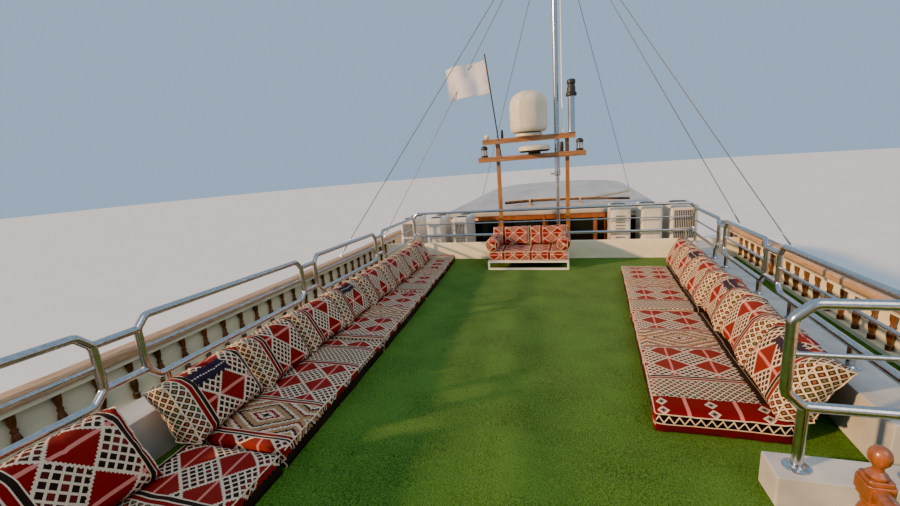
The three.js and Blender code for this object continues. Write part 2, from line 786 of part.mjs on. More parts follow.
function stair() {
  const footX = STAIR_X[0] + STAIR_FOOT_PLACE[0];
  const top = point(STAIR_X[1] - STAIR_TOP_PLACE[0], 0, deckZ(STAIR_X[1]) - STAIR_TOP_PLACE[1]);
  const foot = point(footX, 0, mainDeckZ(footX) + STAIR_FOOT_PLACE[1]);
  const run = new THREE.Vector3().subVectors(foot, top);
  const [y0, y1] = [STAIR_Y[0] + STAIR_CLEAR, STAIR_Y[1] - STAIR_CLEAR];
  const parts = [];
  for (const y of [y0 + STRINGER / 2, y1 - STRINGER / 2]) {
    const stringer = new THREE.BoxGeometry(run.length() + STRINGER_OVER, STRINGER, STRINGER_DEEP);
    stringer.rotateY(-Math.atan2(run.z, run.x));
    parts.push(stringer.translate((top.x + foot.x) / 2, y, (top.z + foot.z) / 2));
  }
  for (let i = 1; i < STEPS; i += 1) {
    const centre = top.clone().addScaledVector(run, i / STEPS);
    const [z0, z1] = [centre.z - TREAD_THICK / 2, centre.z + TREAD_THICK / 2];
    parts.push(box(centre.x - TREAD / 2, centre.x + TREAD / 2, y0 + 1, y1 - 1, z0, z1));
  }
  const above = solid(box(-CUT_END, 0, -CUT_HALF, 0, deckZ(STAIR_X[1]) - STAIR_CLEAR, CUT_TOP));
  const floor = solid(strip(
    deckXs(STAIR_X[0] - TREAD, STAIR_X[1] + TREAD),
    () => -CUT_HALF,
    () => 0,
    () => 0,
    (x) => mainDeckZ(x) + SEAT_GAP,
  ));
  const ahead = solid(box(STAIR_X[1] - SEAT_GAP, 0, -CUT_HALF, 0, 0, CUT_TOP));
  return join(...parts).subtract(above).subtract(floor).subtract(ahead);
}
add('stair', geometryOf(stair()), 'varnish');

// columns: radius, height
const NEWEL_PROFILE = [
  [0, 0], [50, 0], [50, 90], [32, 120], [48, 220], [48, 320], [30, 345],
  [46, 365], [46, 470], [24, 500], [34, 525], [34, 565], [20, 585], [0, 590],
];
function newelRail() {
  const parts = NEWEL_PLACES.map(([x, y]) => (
    turned(NEWEL_PROFILE, 12).translate(x, y, deckZ(x - NEWEL_FOOT) + SEAT_GAP)
  ));
  const [fore, aft] = NEWEL_PLACES.map(([x, y]) => point(x, y, deckZ(x) + HANDRAIL_HEIGHT));
  parts.push(bar(fore, aft, HANDRAIL_RADIUS));
  return joined(...parts);
}
add('newel_rail', newelRail(), 'varnish');

// Lower saloon: side walls with windows, aft wall with its doorway, wall at the break of the deck
const saloonHalf = (x) => outerHalf(x) - SIDE_DECK;
const wallBottom = (x) => mainDeckZ(x) + SEAT_GAP;
const wallTop = (x) => slabUnder(x) - SEAT_GAP;
for (const [name, side] of [['port_saloon_wall', 1], ['starboard_saloon_wall', -1]]) {
  let wall = solid(strip(
    deckXs(...SALOON_X),
    (x) => side * (saloonHalf(x) - WALL_THICK),
    (x) => side * saloonHalf(x),
    wallBottom,
    wallTop,
  ));
  for (const x of SALOON_WINDOW_X) {
    const sill = mainDeckZ(x) + WINDOW_SILL;
    const [y0, y1] = side > 0 ? [0, CUT_HALF] : [-CUT_HALF, 0];
    wall = wall.subtract(solid(box(x, x + SALOON_WINDOW, y0, y1, sill, sill + WINDOW_RISE)));
  }
  add(name, geometryOf(wall), 'white');
}

const aftHalf = saloonHalf(SALOON_X[0]) - WALL_THICK - SEAT_GAP;
function aftWall() {
  const [x0, x1] = [SALOON_X[0], SALOON_X[0] + WALL_THICK];
  const floor = mainDeckZ(x0);
  const sill = floor + WINDOW_SILL;
  const half = DOOR_WIDTH / 2;
  const doorway = box(x0 - 1, x1 + 1, -half, half, floor + DOOR_SILL, floor + DOOR_HEIGHT);
  let wall = solid(strip([x0, x1], () => -aftHalf, () => aftHalf, wallBottom, wallTop));
  wall = wall.subtract(solid(doorway));
  for (const y of AFT_WINDOW_Y) {
    wall = wall.subtract(solid(box(x0 - 1, x1 + 1, y, y + AFT_WINDOW, sill, sill + WINDOW_RISE)));
  }
  return wall;
}
add('saloon_aft_wall', geometryOf(aftWall()), 'white');

// Glass behind each row of windows, one long pane on the wall's inner face
for (const [name, side] of [['port_saloon_glass', 1], ['starboard_saloon_glass', -1]]) {
  const [aft, fore] = [SALOON_WINDOW_X[0], SALOON_WINDOW_X[SALOON_WINDOW_X.length - 1] + SALOON_WINDOW];
  const face = (x) => saloonHalf(x) - WALL_THICK - SEAT_GAP;
  add(name, strip(
    deckXs(aft - GLASS_LAP, fore + GLASS_LAP),
    (x) => side * (face(x) - GLASS_THICK),
    (x) => side * face(x),
    (x) => mainDeckZ(x) + WINDOW_SILL - GLASS_LAP,
    (x) => mainDeckZ(x) + WINDOW_SILL + WINDOW_RISE + GLASS_FALL,
  ), 'glass');
}

const breakHalf = (x) => saloonHalf(x) - WALL_THICK - SEAT_GAP;
add('saloon_fore_wall', strip(
  [SALOON_X[1] - WALL_THICK, SALOON_X[1]],
  (x) => -breakHalf(x),
  breakHalf,
  wallBottom,
  wallTop,
), 'white');

// Door leaf in the aft wall, on three knuckles at its port edge
function saloonDoor() {
  const floor = mainDeckZ(SALOON_X[0]);
  const edge = DOOR_WIDTH / 2 - DOOR_GAP;
  const face = SALOON_X[0] + DOOR_GAP;
  const parts = [box(
    face,
    face + DOOR_THICK,
    -edge,
    edge,
    floor + DOOR_SILL + DOOR_GAP,
    floor + DOOR_HEIGHT - DOOR_GAP,
  )];
  const axisX = SALOON_X[0] - KNUCKLE_RADIUS - 0.5;
  for (const height of KNUCKLE_HEIGHTS) {
    const [z0, z1] = [floor + height, floor + height + KNUCKLE_LENGTH];
    const [y0, y1] = [DOOR_WIDTH / 2 - STRAP_LENGTH, DOOR_WIDTH / 2];
    parts.push(bar(point(axisX, y1, z0), point(axisX, y1, z1), KNUCKLE_RADIUS, 12));
    parts.push(box(axisX, face + 5, y0, edge, z0 + 10, z1 - 10));
    parts.push(box(axisX - 4, axisX + 4, y0, y1, z0 + 10, z1 - 10));
  }
  return joined(...parts);
}
add('saloon_door', saloonDoor(), 'varnish');

// Forward saloon: walls cut from one ring, with a rounded front, then its roof
function ringOutline(inset) {
  const [aft, fore] = FORE_SALOON_X;
  const half = FORE_HALF - inset;
  const shape = new THREE.Shape();
  shape.moveTo(aft + inset, -half);
  shape.lineTo(FORE_BEND_X, -half);
  shape.lineTo(fore - FORE_CHAMFER - inset * 0.4, -FRONT_HALF + inset * 0.4);
  shape.lineTo(fore - inset, -FRONT_HALF + FORE_CHAMFER + inset * 0.4);
  shape.lineTo(fore - inset, FRONT_HALF - FORE_CHAMFER - inset * 0.4);
  shape.lineTo(fore - FORE_CHAMFER - inset * 0.4, FRONT_HALF - inset * 0.4);
  shape.lineTo(FORE_BEND_X, half);
  shape.lineTo(aft + inset, half);
  shape.closePath();
  return shape;
}

function prism(shape, z0, z1) {
  return new THREE.ExtrudeGeometry(shape, { depth: z1 - z0, bevelEnabled: false }).translate(0, 0, z0);
}

function foreSaloonWalls() {
  const top = ROOF_TOP - ROOF_THICK - SEAT_GAP;
  let ring = solid(prism(ringOutline(0), 0, top));
  ring = ring.subtract(solid(prism(ringOutline(WALL_THICK), -1, CUT_TOP)));
  ring = ring.subtract(solid(strip(
    [0, CUT_END],
    () => -CUT_HALF,
    () => CUT_HALF,
    () => -1,
    (x) => foreDeckZ(x) + SEAT_GAP,
  )));
  for (const x of FORE_WINDOW_X) {
    const sill = foreDeckZ(x) + WINDOW_SILL;
    ring = ring.subtract(solid(box(x, x + FORE_WINDOW, -CUT_HALF, CUT_HALF, sill, sill + WINDOW_RISE)));
  }
  for (const y of FRONT_WINDOW_Y) {
    const [x, sill] = [FORE_SALOON_X[1], foreDeckZ(FORE_SALOON_X[1]) + WINDOW_SILL];
    ring = ring.subtract(solid(box(x - 300, x + 300, y, y + FRONT_WINDOW, sill, sill + FRONT_RISE)));
  }
  for (const y of AFT_GLAZING_Y) {
    ring = ring.subtract(solid(box(0, 400, y, y + AFT_GLAZING, AFT_GLAZING_Z[0], AFT_GLAZING_Z[1])));
  }
  const [doorAft, doorFore] = SIDE_DOOR_X;
  const floor = foreDeckZ(doorAft);
  return ring.subtract(solid(box(doorAft, doorFore, 0, CUT_HALF, floor - 100, floor + SIDE_DOOR_HEIGHT)));
}
const ring = foreSaloonWalls();
// columns: node, then the box that cuts it from the ring
const FORE_WALLS = [
  ['fore_saloon_aft_wall', [0, FORE_SALOON_X[0] + WALL_THICK, -CUT_HALF, CUT_HALF]],
  ['fore_saloon_port_wall', [FORE_SALOON_X[0] + WALL_THICK + SEAT_GAP, FORE_BEND_X, 1, CUT_HALF]],
  ['fore_saloon_starboard_wall', [FORE_SALOON_X[0] + WALL_THICK + SEAT_GAP, FORE_BEND_X, -CUT_HALF, -1]],
  ['fore_saloon_front', [FORE_BEND_X + SEAT_GAP, CUT_END, -CUT_HALF, CUT_HALF]],
];
for (const [name, [x0, x1, y0, y1]] of FORE_WALLS) {
  add(name, geometryOf(ring.intersect(solid(box(x0, x1, y0, y1, 0, CUT_TOP)))), 'white');
}

const glazingFace = FORE_SALOON_X[0] + WALL_THICK + SEAT_GAP;
add('aft_glazing', box(
  glazingFace,
  glazingFace + GLASS_THICK,
  AFT_GLAZING_Y[0],
  AFT_GLAZING_Y[AFT_GLAZING_Y.length - 1] + AFT_GLAZING,
  AFT_GLAZING_Z[0] - GLASS_LAP,
  AFT_GLAZING_Z[1] + GLASS_LAP / 2,
), 'glass');

function roofOutline() {
  const [aft, fore] = ROOF_X;
  const shape = new THREE.Shape();
  shape.moveTo(aft, -ROOF_HALF);
  shape.lineTo(FORE_BEND_X, -ROOF_HALF);
  shape.quadraticCurveTo(fore - 200, -ROOF_HALF + 150, fore, 0);
  shape.quadraticCurveTo(fore - 200, ROOF_HALF - 150, FORE_BEND_X, ROOF_HALF);
  shape.lineTo(aft, ROOF_HALF);
  shape.closePath();
  return shape;
}
add('fore_roof', new THREE.ExtrudeGeometry(roofOutline(), {
  depth: ROOF_THICK,
  bevelEnabled: false,
  curveSegments: 8,
}).translate(0, 0, ROOF_TOP - ROOF_THICK), 'white');

// Sliding door on the port side, hung on a rail over the doorway
function sideDoor() {
  const [aft, fore] = SIDE_DOOR_X;
  const floor = foreDeckZ(fore);
  const head = foreDeckZ(aft) + SIDE_DOOR_HEIGHT;
  const y = FORE_HALF + DOOR_GAP;
  const leaf = box(
    aft - SIDE_DOOR_LAP,
    fore + SIDE_DOOR_LAP,
    y,
    y + DOOR_THICK,
    floor + 5 * DOOR_GAP,
    head + SIDE_DOOR_LAP + 10,
  );
  const shoes = [aft + 2 * SIDE_DOOR_LAP, fore - 2 * SIDE_DOOR_LAP].map((x) => (
    box(x - SIDE_DOOR_LAP, x + SIDE_DOOR_LAP, FORE_HALF + 0.5, y + 5, head + 20, head + SIDE_DOOR_LAP)
  ));
  return joined(leaf, ...shoes);
}
add('side_door', sideDoor(), 'varnish');

// Helm: console with a bore for the wheel's shaft, and the wheel that turns in it
const HELM_X = 8120;
const HELM_Z = foreDeckZ(HELM_X) + 980;
const CONSOLE = [80, 480, 450, 160];
const WHEEL_SHAFT = 22;
const WHEEL_SHAFT_LENGTH = 190;
const HANDLE_OVER = 90;
const RIM_RADIUS = 18;
const SPOKE_RADIUS = 14;
const WHEEL_HUB = [40, 55];
const [CONSOLE_AFT, CONSOLE_FORE, CONSOLE_HALF, CONSOLE_OVER] = CONSOLE;
const wheelBore = bar(
  point(HELM_X, 0, HELM_Z),
  point(HELM_X + WHEEL_SHAFT_LENGTH + 10, 0, HELM_Z),
  WHEEL_SHAFT + PIN_GAP,
  PIN_SIDES,
);
const console = solid(box(
  HELM_X + CONSOLE_AFT,
  HELM_X + CONSOLE_FORE,
  -CONSOLE_HALF,
  CONSOLE_HALF,
  foreDeckZ(HELM_X + CONSOLE_FORE) + SEAT_GAP,
  HELM_Z + CONSOLE_OVER,
)).subtract(solid(wheelBore));
add('helm_console', geometryOf(console), 'varnish');

function helmWheel() {
  const handle = WHEEL_RADIUS + HANDLE_OVER;
  const [hubHalf, hubRadius] = WHEEL_HUB;
  const rim = new THREE.TorusGeometry(WHEEL_RADIUS, RIM_RADIUS, 5, 16).rotateY(Math.PI / 2);
  const parts = [
    rim.translate(HELM_X, 0, HELM_Z),
    bar(point(HELM_X - hubHalf, 0, HELM_Z), point(HELM_X + hubHalf, 0, HELM_Z), hubRadius, 12),
    bar(point(HELM_X, 0, HELM_Z), point(HELM_X + WHEEL_SHAFT_LENGTH, 0, HELM_Z), WHEEL_SHAFT, PIN_SIDES),
  ];
  for (let i = 0; i < SPOKES / 2; i += 1) {
    const spoke = bar(point(0, 0, -handle), point(0, 0, handle), SPOKE_RADIUS, 6);
    parts.push(spoke.rotateX((i * 2 * Math.PI) / SPOKES).translate(HELM_X, 0, HELM_Z));
  }
  return joined(...parts);
}
add('helm_wheel', helmWheel(), 'varnish');

// Mast in its step, and the goalpost frame with its two crossbars and lanterns
const [MAST_X, MAST_Y] = MAST;
const [CLAMP_LOW, CLAMP_TOP, CLAMP_RADIUS] = HEEL_CLAMP;
const [lowRadius, topRadius] = MAST_RADIUS;
const mastFoot = slabTop(MAST_X);
const collarFoot = MAST_COLLAR - BAND_HEIGHT;
add('mast', joined(
  bar(point(MAST_X, MAST_Y, mastFoot + 10), point(MAST_X, MAST_Y, HEEL_TOP), HEEL_RADIUS, 12),
  bar(point(MAST_X, MAST_Y, CLAMP_LOW), point(MAST_X, MAST_Y, CLAMP_TOP), CLAMP_RADIUS, 12),
  bar(point(MAST_X, MAST_Y, CLAMP_LOW + 20), point(MAST_X, MAST_Y, MAST_TOP), lowRadius, 12, topRadius),
  bar(
    point(MAST_X, MAST_Y, slabTop(MAST_X - STEP_RADIUS) + SEAT_GAP),
    point(MAST_X, MAST_Y, mastFoot + STEP_RISE),
    STEP_RADIUS,
    12,
  ),
  bar(point(MAST_X, MAST_Y, collarFoot), point(MAST_X, MAST_Y, MAST_COLLAR), MAST_BAND_RADIUS, 12),
), 'steel');

const barX = GOALPOST_X - LANTERN_BACK;
function goalpost() {
  const parts = GOALPOST_Y.map((y) => box(
    GOALPOST_X - GOALPOST_SIDE / 2,
    GOALPOST_X + GOALPOST_SIDE / 2,
    y - GOALPOST_SIDE / 2,
    y + GOALPOST_SIDE / 2,
    slabTop(GOALPOST_X - GOALPOST_SIDE / 2) + SEAT_GAP,
    GOALPOST_TOP,
  ));
  for (const [y0, y1, z] of CROSSBARS) {
    const half = CROSSBAR_SIDE / 2;
    parts.push(box(GOALPOST_X - CROSSBAR_REACH, GOALPOST_X, y0, y1, z - half, z + half));
  }
  const lanternFoot = CROSSBARS[0][2] + CROSSBAR_SIDE / 2;
  for (const y of LANTERN_Y) {
    const foot = point(barX, y, lanternFoot - 5);
    parts.push(bar(foot, foot.clone().setZ(lanternFoot + LANTERN_HEIGHT), LANTERN_RADIUS, 10));
  }
  return joined(...parts);
}
add('goalpost_frame', goalpost(), 'varnish');

const DOME_Y = 210;
const RADAR_Y = 120;
const FLUE_Y = -575;
const barTop = CROSSBARS[1][2] + CROSSBAR_SIDE / 2 + SEAT_GAP;
// columns: radius, height
const DOME_PROFILE = [
  [0, 0], [250, 0], [250, 60], [330, 90], [350, 150], [350, 560],
  [310, 700], [210, 790], [100, 825], [0, 830],
];
add('satellite_dome', turned(DOME_PROFILE, 20).translate(barX, DOME_Y, barTop), 'dome');
const RADAR_PROFILE = [[0, 0], [120, 0], [120, 30], [285, 45], [300, 90], [285, 140], [120, 165], [0, 170]];
add('radar', turned(RADAR_PROFILE, 16)
  .translate(barX - 1, RADAR_Y, CROSSBARS[0][2] + CROSSBAR_SIDE / 2 + SEAT_GAP), 'dome');
const FLUE_PROFILE = [
  [0, 0], [62, 0], [62, 640], [98, 650], [98, 700], [75, 725], [75, 800], [66, 815], [66, 850], [76, 865],
  [76, 930], [0, 938],
];
add('flue', turned(FLUE_PROFILE, 12).translate(barX, FLUE_Y, barTop), 'steel');

// Whip antenna on the upper crossbar
const ANTENNA_Y = -410;
const ANTENNA_PROFILE = [[0, 0], [30, 0], [30, 70], [16, 80], [12, 3050], [0, 3055]];
add('whip_antenna', turned(ANTENNA_PROFILE, 10).translate(barX, ANTENNA_Y, barTop), 'dome');

// Main stays, joined by the band at the masthead
function stays() {
  const [inner, outer] = BAND_RADIUS;
  const band = [[inner, 0], [outer, 0], [outer, BAND_HEIGHT], [inner, BAND_HEIGHT], [inner, 0]];
  const parts = [turned(band, 12).translate(MAST_X, MAST_Y, MAST_COLLAR + SEAT_GAP)];
  const head = MAST_COLLAR + BAND_HEIGHT / 2;
  for (const [x, y, z] of stayFeet()) {
    const foot = point(x, y, z + SEAT_GAP);
    const top = point(MAST_X, MAST_Y, head);
    const away = new THREE.Vector3().subVectors(foot, top).setZ(0).normalize().multiplyScalar(STAY_START);
    parts.push(bar(top.clone().add(away), foot.clone().setZ(foot.z + 30), STAY_RADIUS));
    parts.push(flange(point(x, y, z + SEAT_GAP)));
    const block = new THREE.BoxGeometry(40, 40, 60);
    parts.push(block.translate(x, y, z + SEAT_GAP + 35));
  }
  return joined(...parts);
}

function stayFeet() {
  const feet = [];
  for (const side of [-1, 1]) {
    for (const x of STAY_X_ON_CAP) {
      const z = Math.max(deckZ(x - FLANGE_RADIUS), deckZ(x + FLANGE_RADIUS)) + CAP_HEIGHT;
      feet.push([x, side * (outerHalf(x) - 25), z]);
    }
    feet.push([STAY_ON_ROOF[0], side * STAY_ON_ROOF[1], ROOF_TOP]);
  }
  return feet;
}
add('stays', stays(), 'steel');

// Flag staff strapped to the port post, and the flag with its hoist along the leaning staff
const STAFF_RADIUS = 14;
const STAFF_X = GOALPOST_X - CROSSBAR_REACH - STAFF_RADIUS - SEAT_GAP;
const STAFF_FOOT = point(STAFF_X, 750, 5480);
const STAFF_HEAD = point(STAFF_X, 985, 7480);
add('flag_staff', bar(STAFF_FOOT, STAFF_HEAD, STAFF_RADIUS, 8), 'varnish');
const FLAG_FOOT = 6760;
const FLAG_HOIST = 600;
const FLAG_LENGTH = 850;
const FLAG_THICK = 12;
const FLAG_SWING = 0.2;
const staffLean = (STAFF_HEAD.y - STAFF_FOOT.y) / (STAFF_HEAD.z - STAFF_FOOT.z);
const hoistY = STAFF_FOOT.y + staffLean * (FLAG_FOOT - STAFF_FOOT.z) + STAFF_RADIUS + SEAT_GAP;
const flag = box(-FLAG_THICK / 2, FLAG_THICK / 2, 0, FLAG_LENGTH, 0, FLAG_HOIST).rotateZ(FLAG_SWING);
flag.applyMatrix4(new THREE.Matrix4().makeShear(0, 0, 0, 0, 0, staffLean));
add('flag', flag.translate(STAFF_X, hoistY, FLAG_FOOT), 'canvas');

// Two poles lying on bearers on the forward roof
function poles() {
  const parts = [];
  const height = ROOF_TOP + BEARER_HIGH + POLE_RADIUS - POLE_SUNK;
  for (const bends of [SPAR_POINTS, ROUGH_POLE_POINTS]) {
    for (let i = 0; i + 1 < bends.length; i += 1) {
      const [a, b] = [bends[i], bends[i + 1]].map(([x, y]) => point(x, y, height));
      const along = new THREE.Vector3().subVectors(b, a).normalize().multiplyScalar(POLE_RADIUS / 3);
      parts.push(bar(a.sub(along), b.add(along), POLE_RADIUS, 8));
    }
  }
  for (const y of BEARER_Y) {
    const [y0, y1] = [y - BEARER_WIDE / 2, y + BEARER_WIDE / 2];
    parts.push(box(...BEARER_X, y0, y1, ROOF_TOP + SEAT_GAP, ROOF_TOP + BEARER_HIGH));
  }
  return joined(...parts);
}
add('spar', poles(), 'timber');

// Cooling units on base rails, ahead of the forward bulwark
for (const [name, high, units] of COOLING) {
  const [x0, x1] = COOLER_X;
  const base = slabTop(x0 + COOLER_FOOT) + SEAT_GAP;
  const foot = base + COOLER_LIFT;
  const parts = units.map(([y, wide]) => box(x0, x1, y - wide / 2, y + wide / 2, foot, foot + high));
  const ends = [
    Math.min(...units.map(([y, wide]) => y - wide / 2)),
    Math.max(...units.map(([y, wide]) => y + wide / 2)),
  ];
  for (const x of [x0 + COOLER_FOOT, x1 - 2 * COOLER_FOOT]) {
    parts.push(box(x, x + COOLER_FOOT, ends[0], ends[1], base, foot + 10));
  }
  add(name, joined(...parts), 'white');
}

// Bench: open steel base, seat, back and arm bolsters
function benchFrame() {
  const [x0, x1] = BENCH_X;
  const [y0, y1] = BENCH_Y;
  const t = BENCH_TUBE;
  const parts = [];
  for (const x of [x0, x1 - t]) {
    const foot = Math.max(deckZ(x), deckZ(x + t)) + SEAT_GAP;
    parts.push(box(x, x + t, y0, y1, foot, foot + t));
    parts.push(box(x, x + t, y0, y1, benchTop - t, benchTop));
    for (const y of [y0, y1 - t]) {
      parts.push(box(x, x + t, y, y + t, foot, benchTop));
    }
  }
  for (const y of [y0, y1 - t]) {
    parts.push(box(x0, x1, y, y + t, benchTop - t, benchTop));
  }
  return joined(...parts);
}
const benchTop = deckZ(BENCH_X[0]) + BENCH_BASE;
add('bench_frame', benchFrame(), 'white');
const [BENCH_AFT, BENCH_FORE] = BENCH_X;
const [BENCH_RIGHT, BENCH_LEFT] = BENCH_Y;
const seatTop = benchTop + SEAT_GAP + BENCH_SEAT;
const seatFoot = benchTop + SEAT_GAP;
add('bench_seat', box(BENCH_AFT, BENCH_FORE, BENCH_RIGHT, BENCH_LEFT, seatFoot, seatTop), 'fabric');
add('bench_back', box(
  BENCH_FORE - BENCH_PAD,
  BENCH_FORE,
  BENCH_RIGHT + 40,
  BENCH_LEFT - 40,
  seatTop + SEAT_GAP,
  benchTop + BENCH_BACK,
), 'fabric');
// columns: node, its middle's y
const BOLSTERS = [
  ['bench_port_bolster', BENCH_LEFT - BOLSTER_INSET],
  ['bench_starboard_bolster', BENCH_RIGHT + BOLSTER_INSET],
];
for (const [name, y] of BOLSTERS) {
  const length = BENCH_FORE - BENCH_AFT - BENCH_PAD - 20;
  const roll = new THREE.CylinderGeometry(BOLSTER_RADIUS, BOLSTER_RADIUS, length, 12).rotateZ(Math.PI / 2);
  const middle = (BENCH_AFT + BENCH_FORE - BENCH_PAD) / 2;
  add(name, roll.translate(middle, y, seatTop + SEAT_GAP + BOLSTER_RADIUS), 'fabric');
}

// Floor mattresses, each row one solid
// columns: node, side, aft end, fore end, aisle edge at the deck's datum, its spread, width
const ROWS = [
  ['port_mattresses', 1, -9100, -1200, 905, 0.103, 720],
  ['starboard_mattresses', -1, -6500, -2180, 863, 0.062, 800],
];
for (const [name, side, aft, fore, datum, spread, width] of ROWS) {
  const aisleEdge = (x) => datum + spread * (x - DECK_DATUM);
  add(name, strip(
    deckXs(aft, fore),
    (x) => side * aisleEdge(x),
    (x) => side * (aisleEdge(x) + width),
    (x) => deckZ(x) + SEAT_GAP,
    (x) => deckZ(x) + MATTRESS_THICK,
  ), 'fabric');
}

// Back cushions leaning outwards on the mattresses: name, side, aft end, fore end
const CUSHIONS = [
  ['port_aft_cushion', 1, -8330, -7610],
  ['port_back_cushions', 1, -7420, -1700],
  ['starboard_back_cushions', -1, -6500, -1980],
];
for (const [name, side, aft, fore] of CUSHIONS) {
  const back = (x) => railHalf(x) - COAMING_IN - 12;
  add(name, loft(deckXs(aft, fore).map((x) => [
    [back(x) - CUSHION_LEAN - CUSHION_THICK, MATTRESS_THICK + SEAT_GAP],
    [back(x) - CUSHION_LEAN, MATTRESS_THICK + SEAT_GAP],
    [back(x), MATTRESS_THICK + CUSHION_RISE - CUSHION_SLOPE],
    [back(x) - CUSHION_THICK, MATTRESS_THICK + CUSHION_RISE],
  ].map(([y, z]) => point(x, side * y, deckZ(x) + z)))), 'fabric');
}

export default boat;
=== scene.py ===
"""Passenger dhow: planked hull, turfed upper deck with woven floor seating, rails, rig and saloons.

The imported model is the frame. Each piece of this file stands for, or rides with, one of its bodies.
Metres, +X to the bow, +Y to port, +Z up, with the origin on the waterline amidships.
"""

import math
import random

import bmesh
import bpy
import numpy as np
from mathutils import Matrix, Vector, noise


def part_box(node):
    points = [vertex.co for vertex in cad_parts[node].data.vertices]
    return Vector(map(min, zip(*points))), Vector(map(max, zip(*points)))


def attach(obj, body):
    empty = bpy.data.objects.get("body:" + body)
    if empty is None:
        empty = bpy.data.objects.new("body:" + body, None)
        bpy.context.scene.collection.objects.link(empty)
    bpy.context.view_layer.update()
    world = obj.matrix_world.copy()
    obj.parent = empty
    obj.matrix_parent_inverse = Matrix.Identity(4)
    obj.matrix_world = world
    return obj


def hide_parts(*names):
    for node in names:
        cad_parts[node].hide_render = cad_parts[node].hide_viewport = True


bl_info = {
    "name": "Passenger dhow",
    "version": (1, 0, 0),
    "blender": (4, 5, 0),
    "location": "View3D > Sidebar > Dhow",
    "description": "Builds the pieces and finishes of a passenger dhow round its packed frame",
    "category": "Object",
}

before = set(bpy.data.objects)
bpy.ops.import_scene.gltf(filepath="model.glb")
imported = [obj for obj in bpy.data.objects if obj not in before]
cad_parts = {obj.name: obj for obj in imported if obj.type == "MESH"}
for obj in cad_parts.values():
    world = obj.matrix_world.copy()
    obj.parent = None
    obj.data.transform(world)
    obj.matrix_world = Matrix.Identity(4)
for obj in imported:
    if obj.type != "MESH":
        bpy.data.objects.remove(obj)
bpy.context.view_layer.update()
GAP = 0.0005


def linear(code):
    """Turns an sRGB hex value into linear red, green, blue and alpha; a linear colour stays as it is."""
    if not isinstance(code, str):
        return tuple(code)
    parts = [int(code[i : i + 2], 16) / 255 for i in (0, 2, 4)]
    return tuple(c / 12.92 if c <= 0.04045 else ((c + 0.055) / 1.055) ** 2.4 for c in parts) + (1.0,)


# Curves of the boat, the same as the frame's
DECK_AFT = -12.5
DECK_FRAMES = (DECK_AFT, -10.5, -8.5, -6.5, -4.5, -2.5, 0.0)
DECK_DATUM = -9.0
HEADROOM = 2.3
STAIR_TOP = 3.971
TURF = 0.022
BOARD_OUT = 0.78
BULWARK_X = -1.04
# forward ends of the rails, aft end of the saloon, tops of the goalpost frame's bars
RAIL_FORE = -1.15
SALOON_AFT = -10.4
LOW_BAR_TOP = 5.5643
HIGH_BAR_TOP = 5.9023
MASTHEAD = 9.66
STAFF_X = -0.7843
# how far a moulding or fitting stands off the face behind it
SKIN = 0.0003
# columns: x, half breadth at the cap, height of the keel line, height of the cap, fullness
STATIONS = np.array([
    (-12.6, 2.29, 0.45, 2.64, 2.2),
    (-11.0, 2.53, -0.25, 2.44, 2.3),
    (-9.0, 2.80, -0.90, 2.30, 2.7),
    (-5.0, 3.19, -1.45, 2.06, 3.1),
    (-1.0, 3.45, -1.60, 2.06, 3.2),
    (3.0, 3.42, -1.55, 2.38, 3.0),
    (6.0, 3.08, -1.30, 2.76, 2.6),
    (8.5, 2.64, -0.60, 3.08, 2.3),
    (10.5, 1.83, 0.60, 3.33, 2.0),
    (12.0, 0.86, 2.00, 3.53, 1.7),
    (12.9, 0.09, 3.20, 3.65, 1.4),
])


def at_frames(x, curve):
    """A curve of the upper deck, straight between the deck's frames."""
    runs = np.array(DECK_FRAMES) - DECK_DATUM
    return float(np.interp(x, DECK_FRAMES, curve(runs)))


def deck(x):
    """Height of the turf."""
    return at_frames(x, lambda run: 3.95 - 0.0817 * run + 0.0039 * run**2)


def rail_half(x):
    """Half breadth at the middle of the rails."""
    return at_frames(x, lambda run: 1.95 + 0.114 * run - 0.0042 * run**2)


def edge_half(x):
    """Half breadth at the outside of the deck's boards."""
    return rail_half(x) + BOARD_OUT


def mattress_edge(x, side):
    """Half breadth at the mattresses' edge on the aisle."""
    start, spread = (0.905, 0.103) if side > 0 else (0.863, 0.062)
    return start + spread * (x - DECK_DATUM)


def smooth_rows():
    """Slopes of the station table's columns for a smooth curve that never passes its own values."""
    x, rows = STATIONS[:, 0], STATIONS[:, 1:]
    step = np.diff(x)[:, None]
    rise = np.diff(rows, axis=0) / step
    slopes = np.zeros_like(rows)
    slopes[0], slopes[-1] = rise[0], rise[-1]
    for i in range(1, len(x) - 1):
        a, b = rise[i - 1], rise[i]
        same = a * b > 0
        slopes[i][same] = 2 * (a * b / np.where(same, a + b, 1))[same]
    return slopes


SLOPES = smooth_rows()


def station(x):
    """Half breadth at the cap, keel height, cap height and fullness at x."""
    x = min(max(x, STATIONS[0, 0]), STATIONS[-1, 0])
    i = int(min(max(np.searchsorted(STATIONS[:, 0], x) - 1, 0), len(STATIONS) - 2))
    step = STATIONS[i + 1, 0] - STATIONS[i, 0]
    t = (x - STATIONS[i, 0]) / step
    a, b = STATIONS[i, 1:], STATIONS[i + 1, 1:]
    return (
        a * (1 + 2 * t) * (1 - t) ** 2
        + b * t**2 * (3 - 2 * t)
        + step * (SLOPES[i] * t * (1 - t) ** 2 - SLOPES[i + 1] * t**2 * (1 - t))
    )


def hull_point(x, s, side=1, inset=0.0):
    """A point of the planking: s runs from 0 at the keel to 1 at the cap."""
    half, keel, cap, full = station(x)
    return (x, side * max(0.02, half * (1 - (1 - s) ** full) - inset), keel + (cap - keel) * s)


def girth_at(x, z):
    """The s of a height at x."""
    _, keel, cap, _ = station(x)
    return min(1.0, max(0.0, (z - keel) / (cap - keel)))


def staff_y(z):
    """Where the raked flag staff stands at a height."""
    return 0.75 + 0.1175 * (z - 5.48)


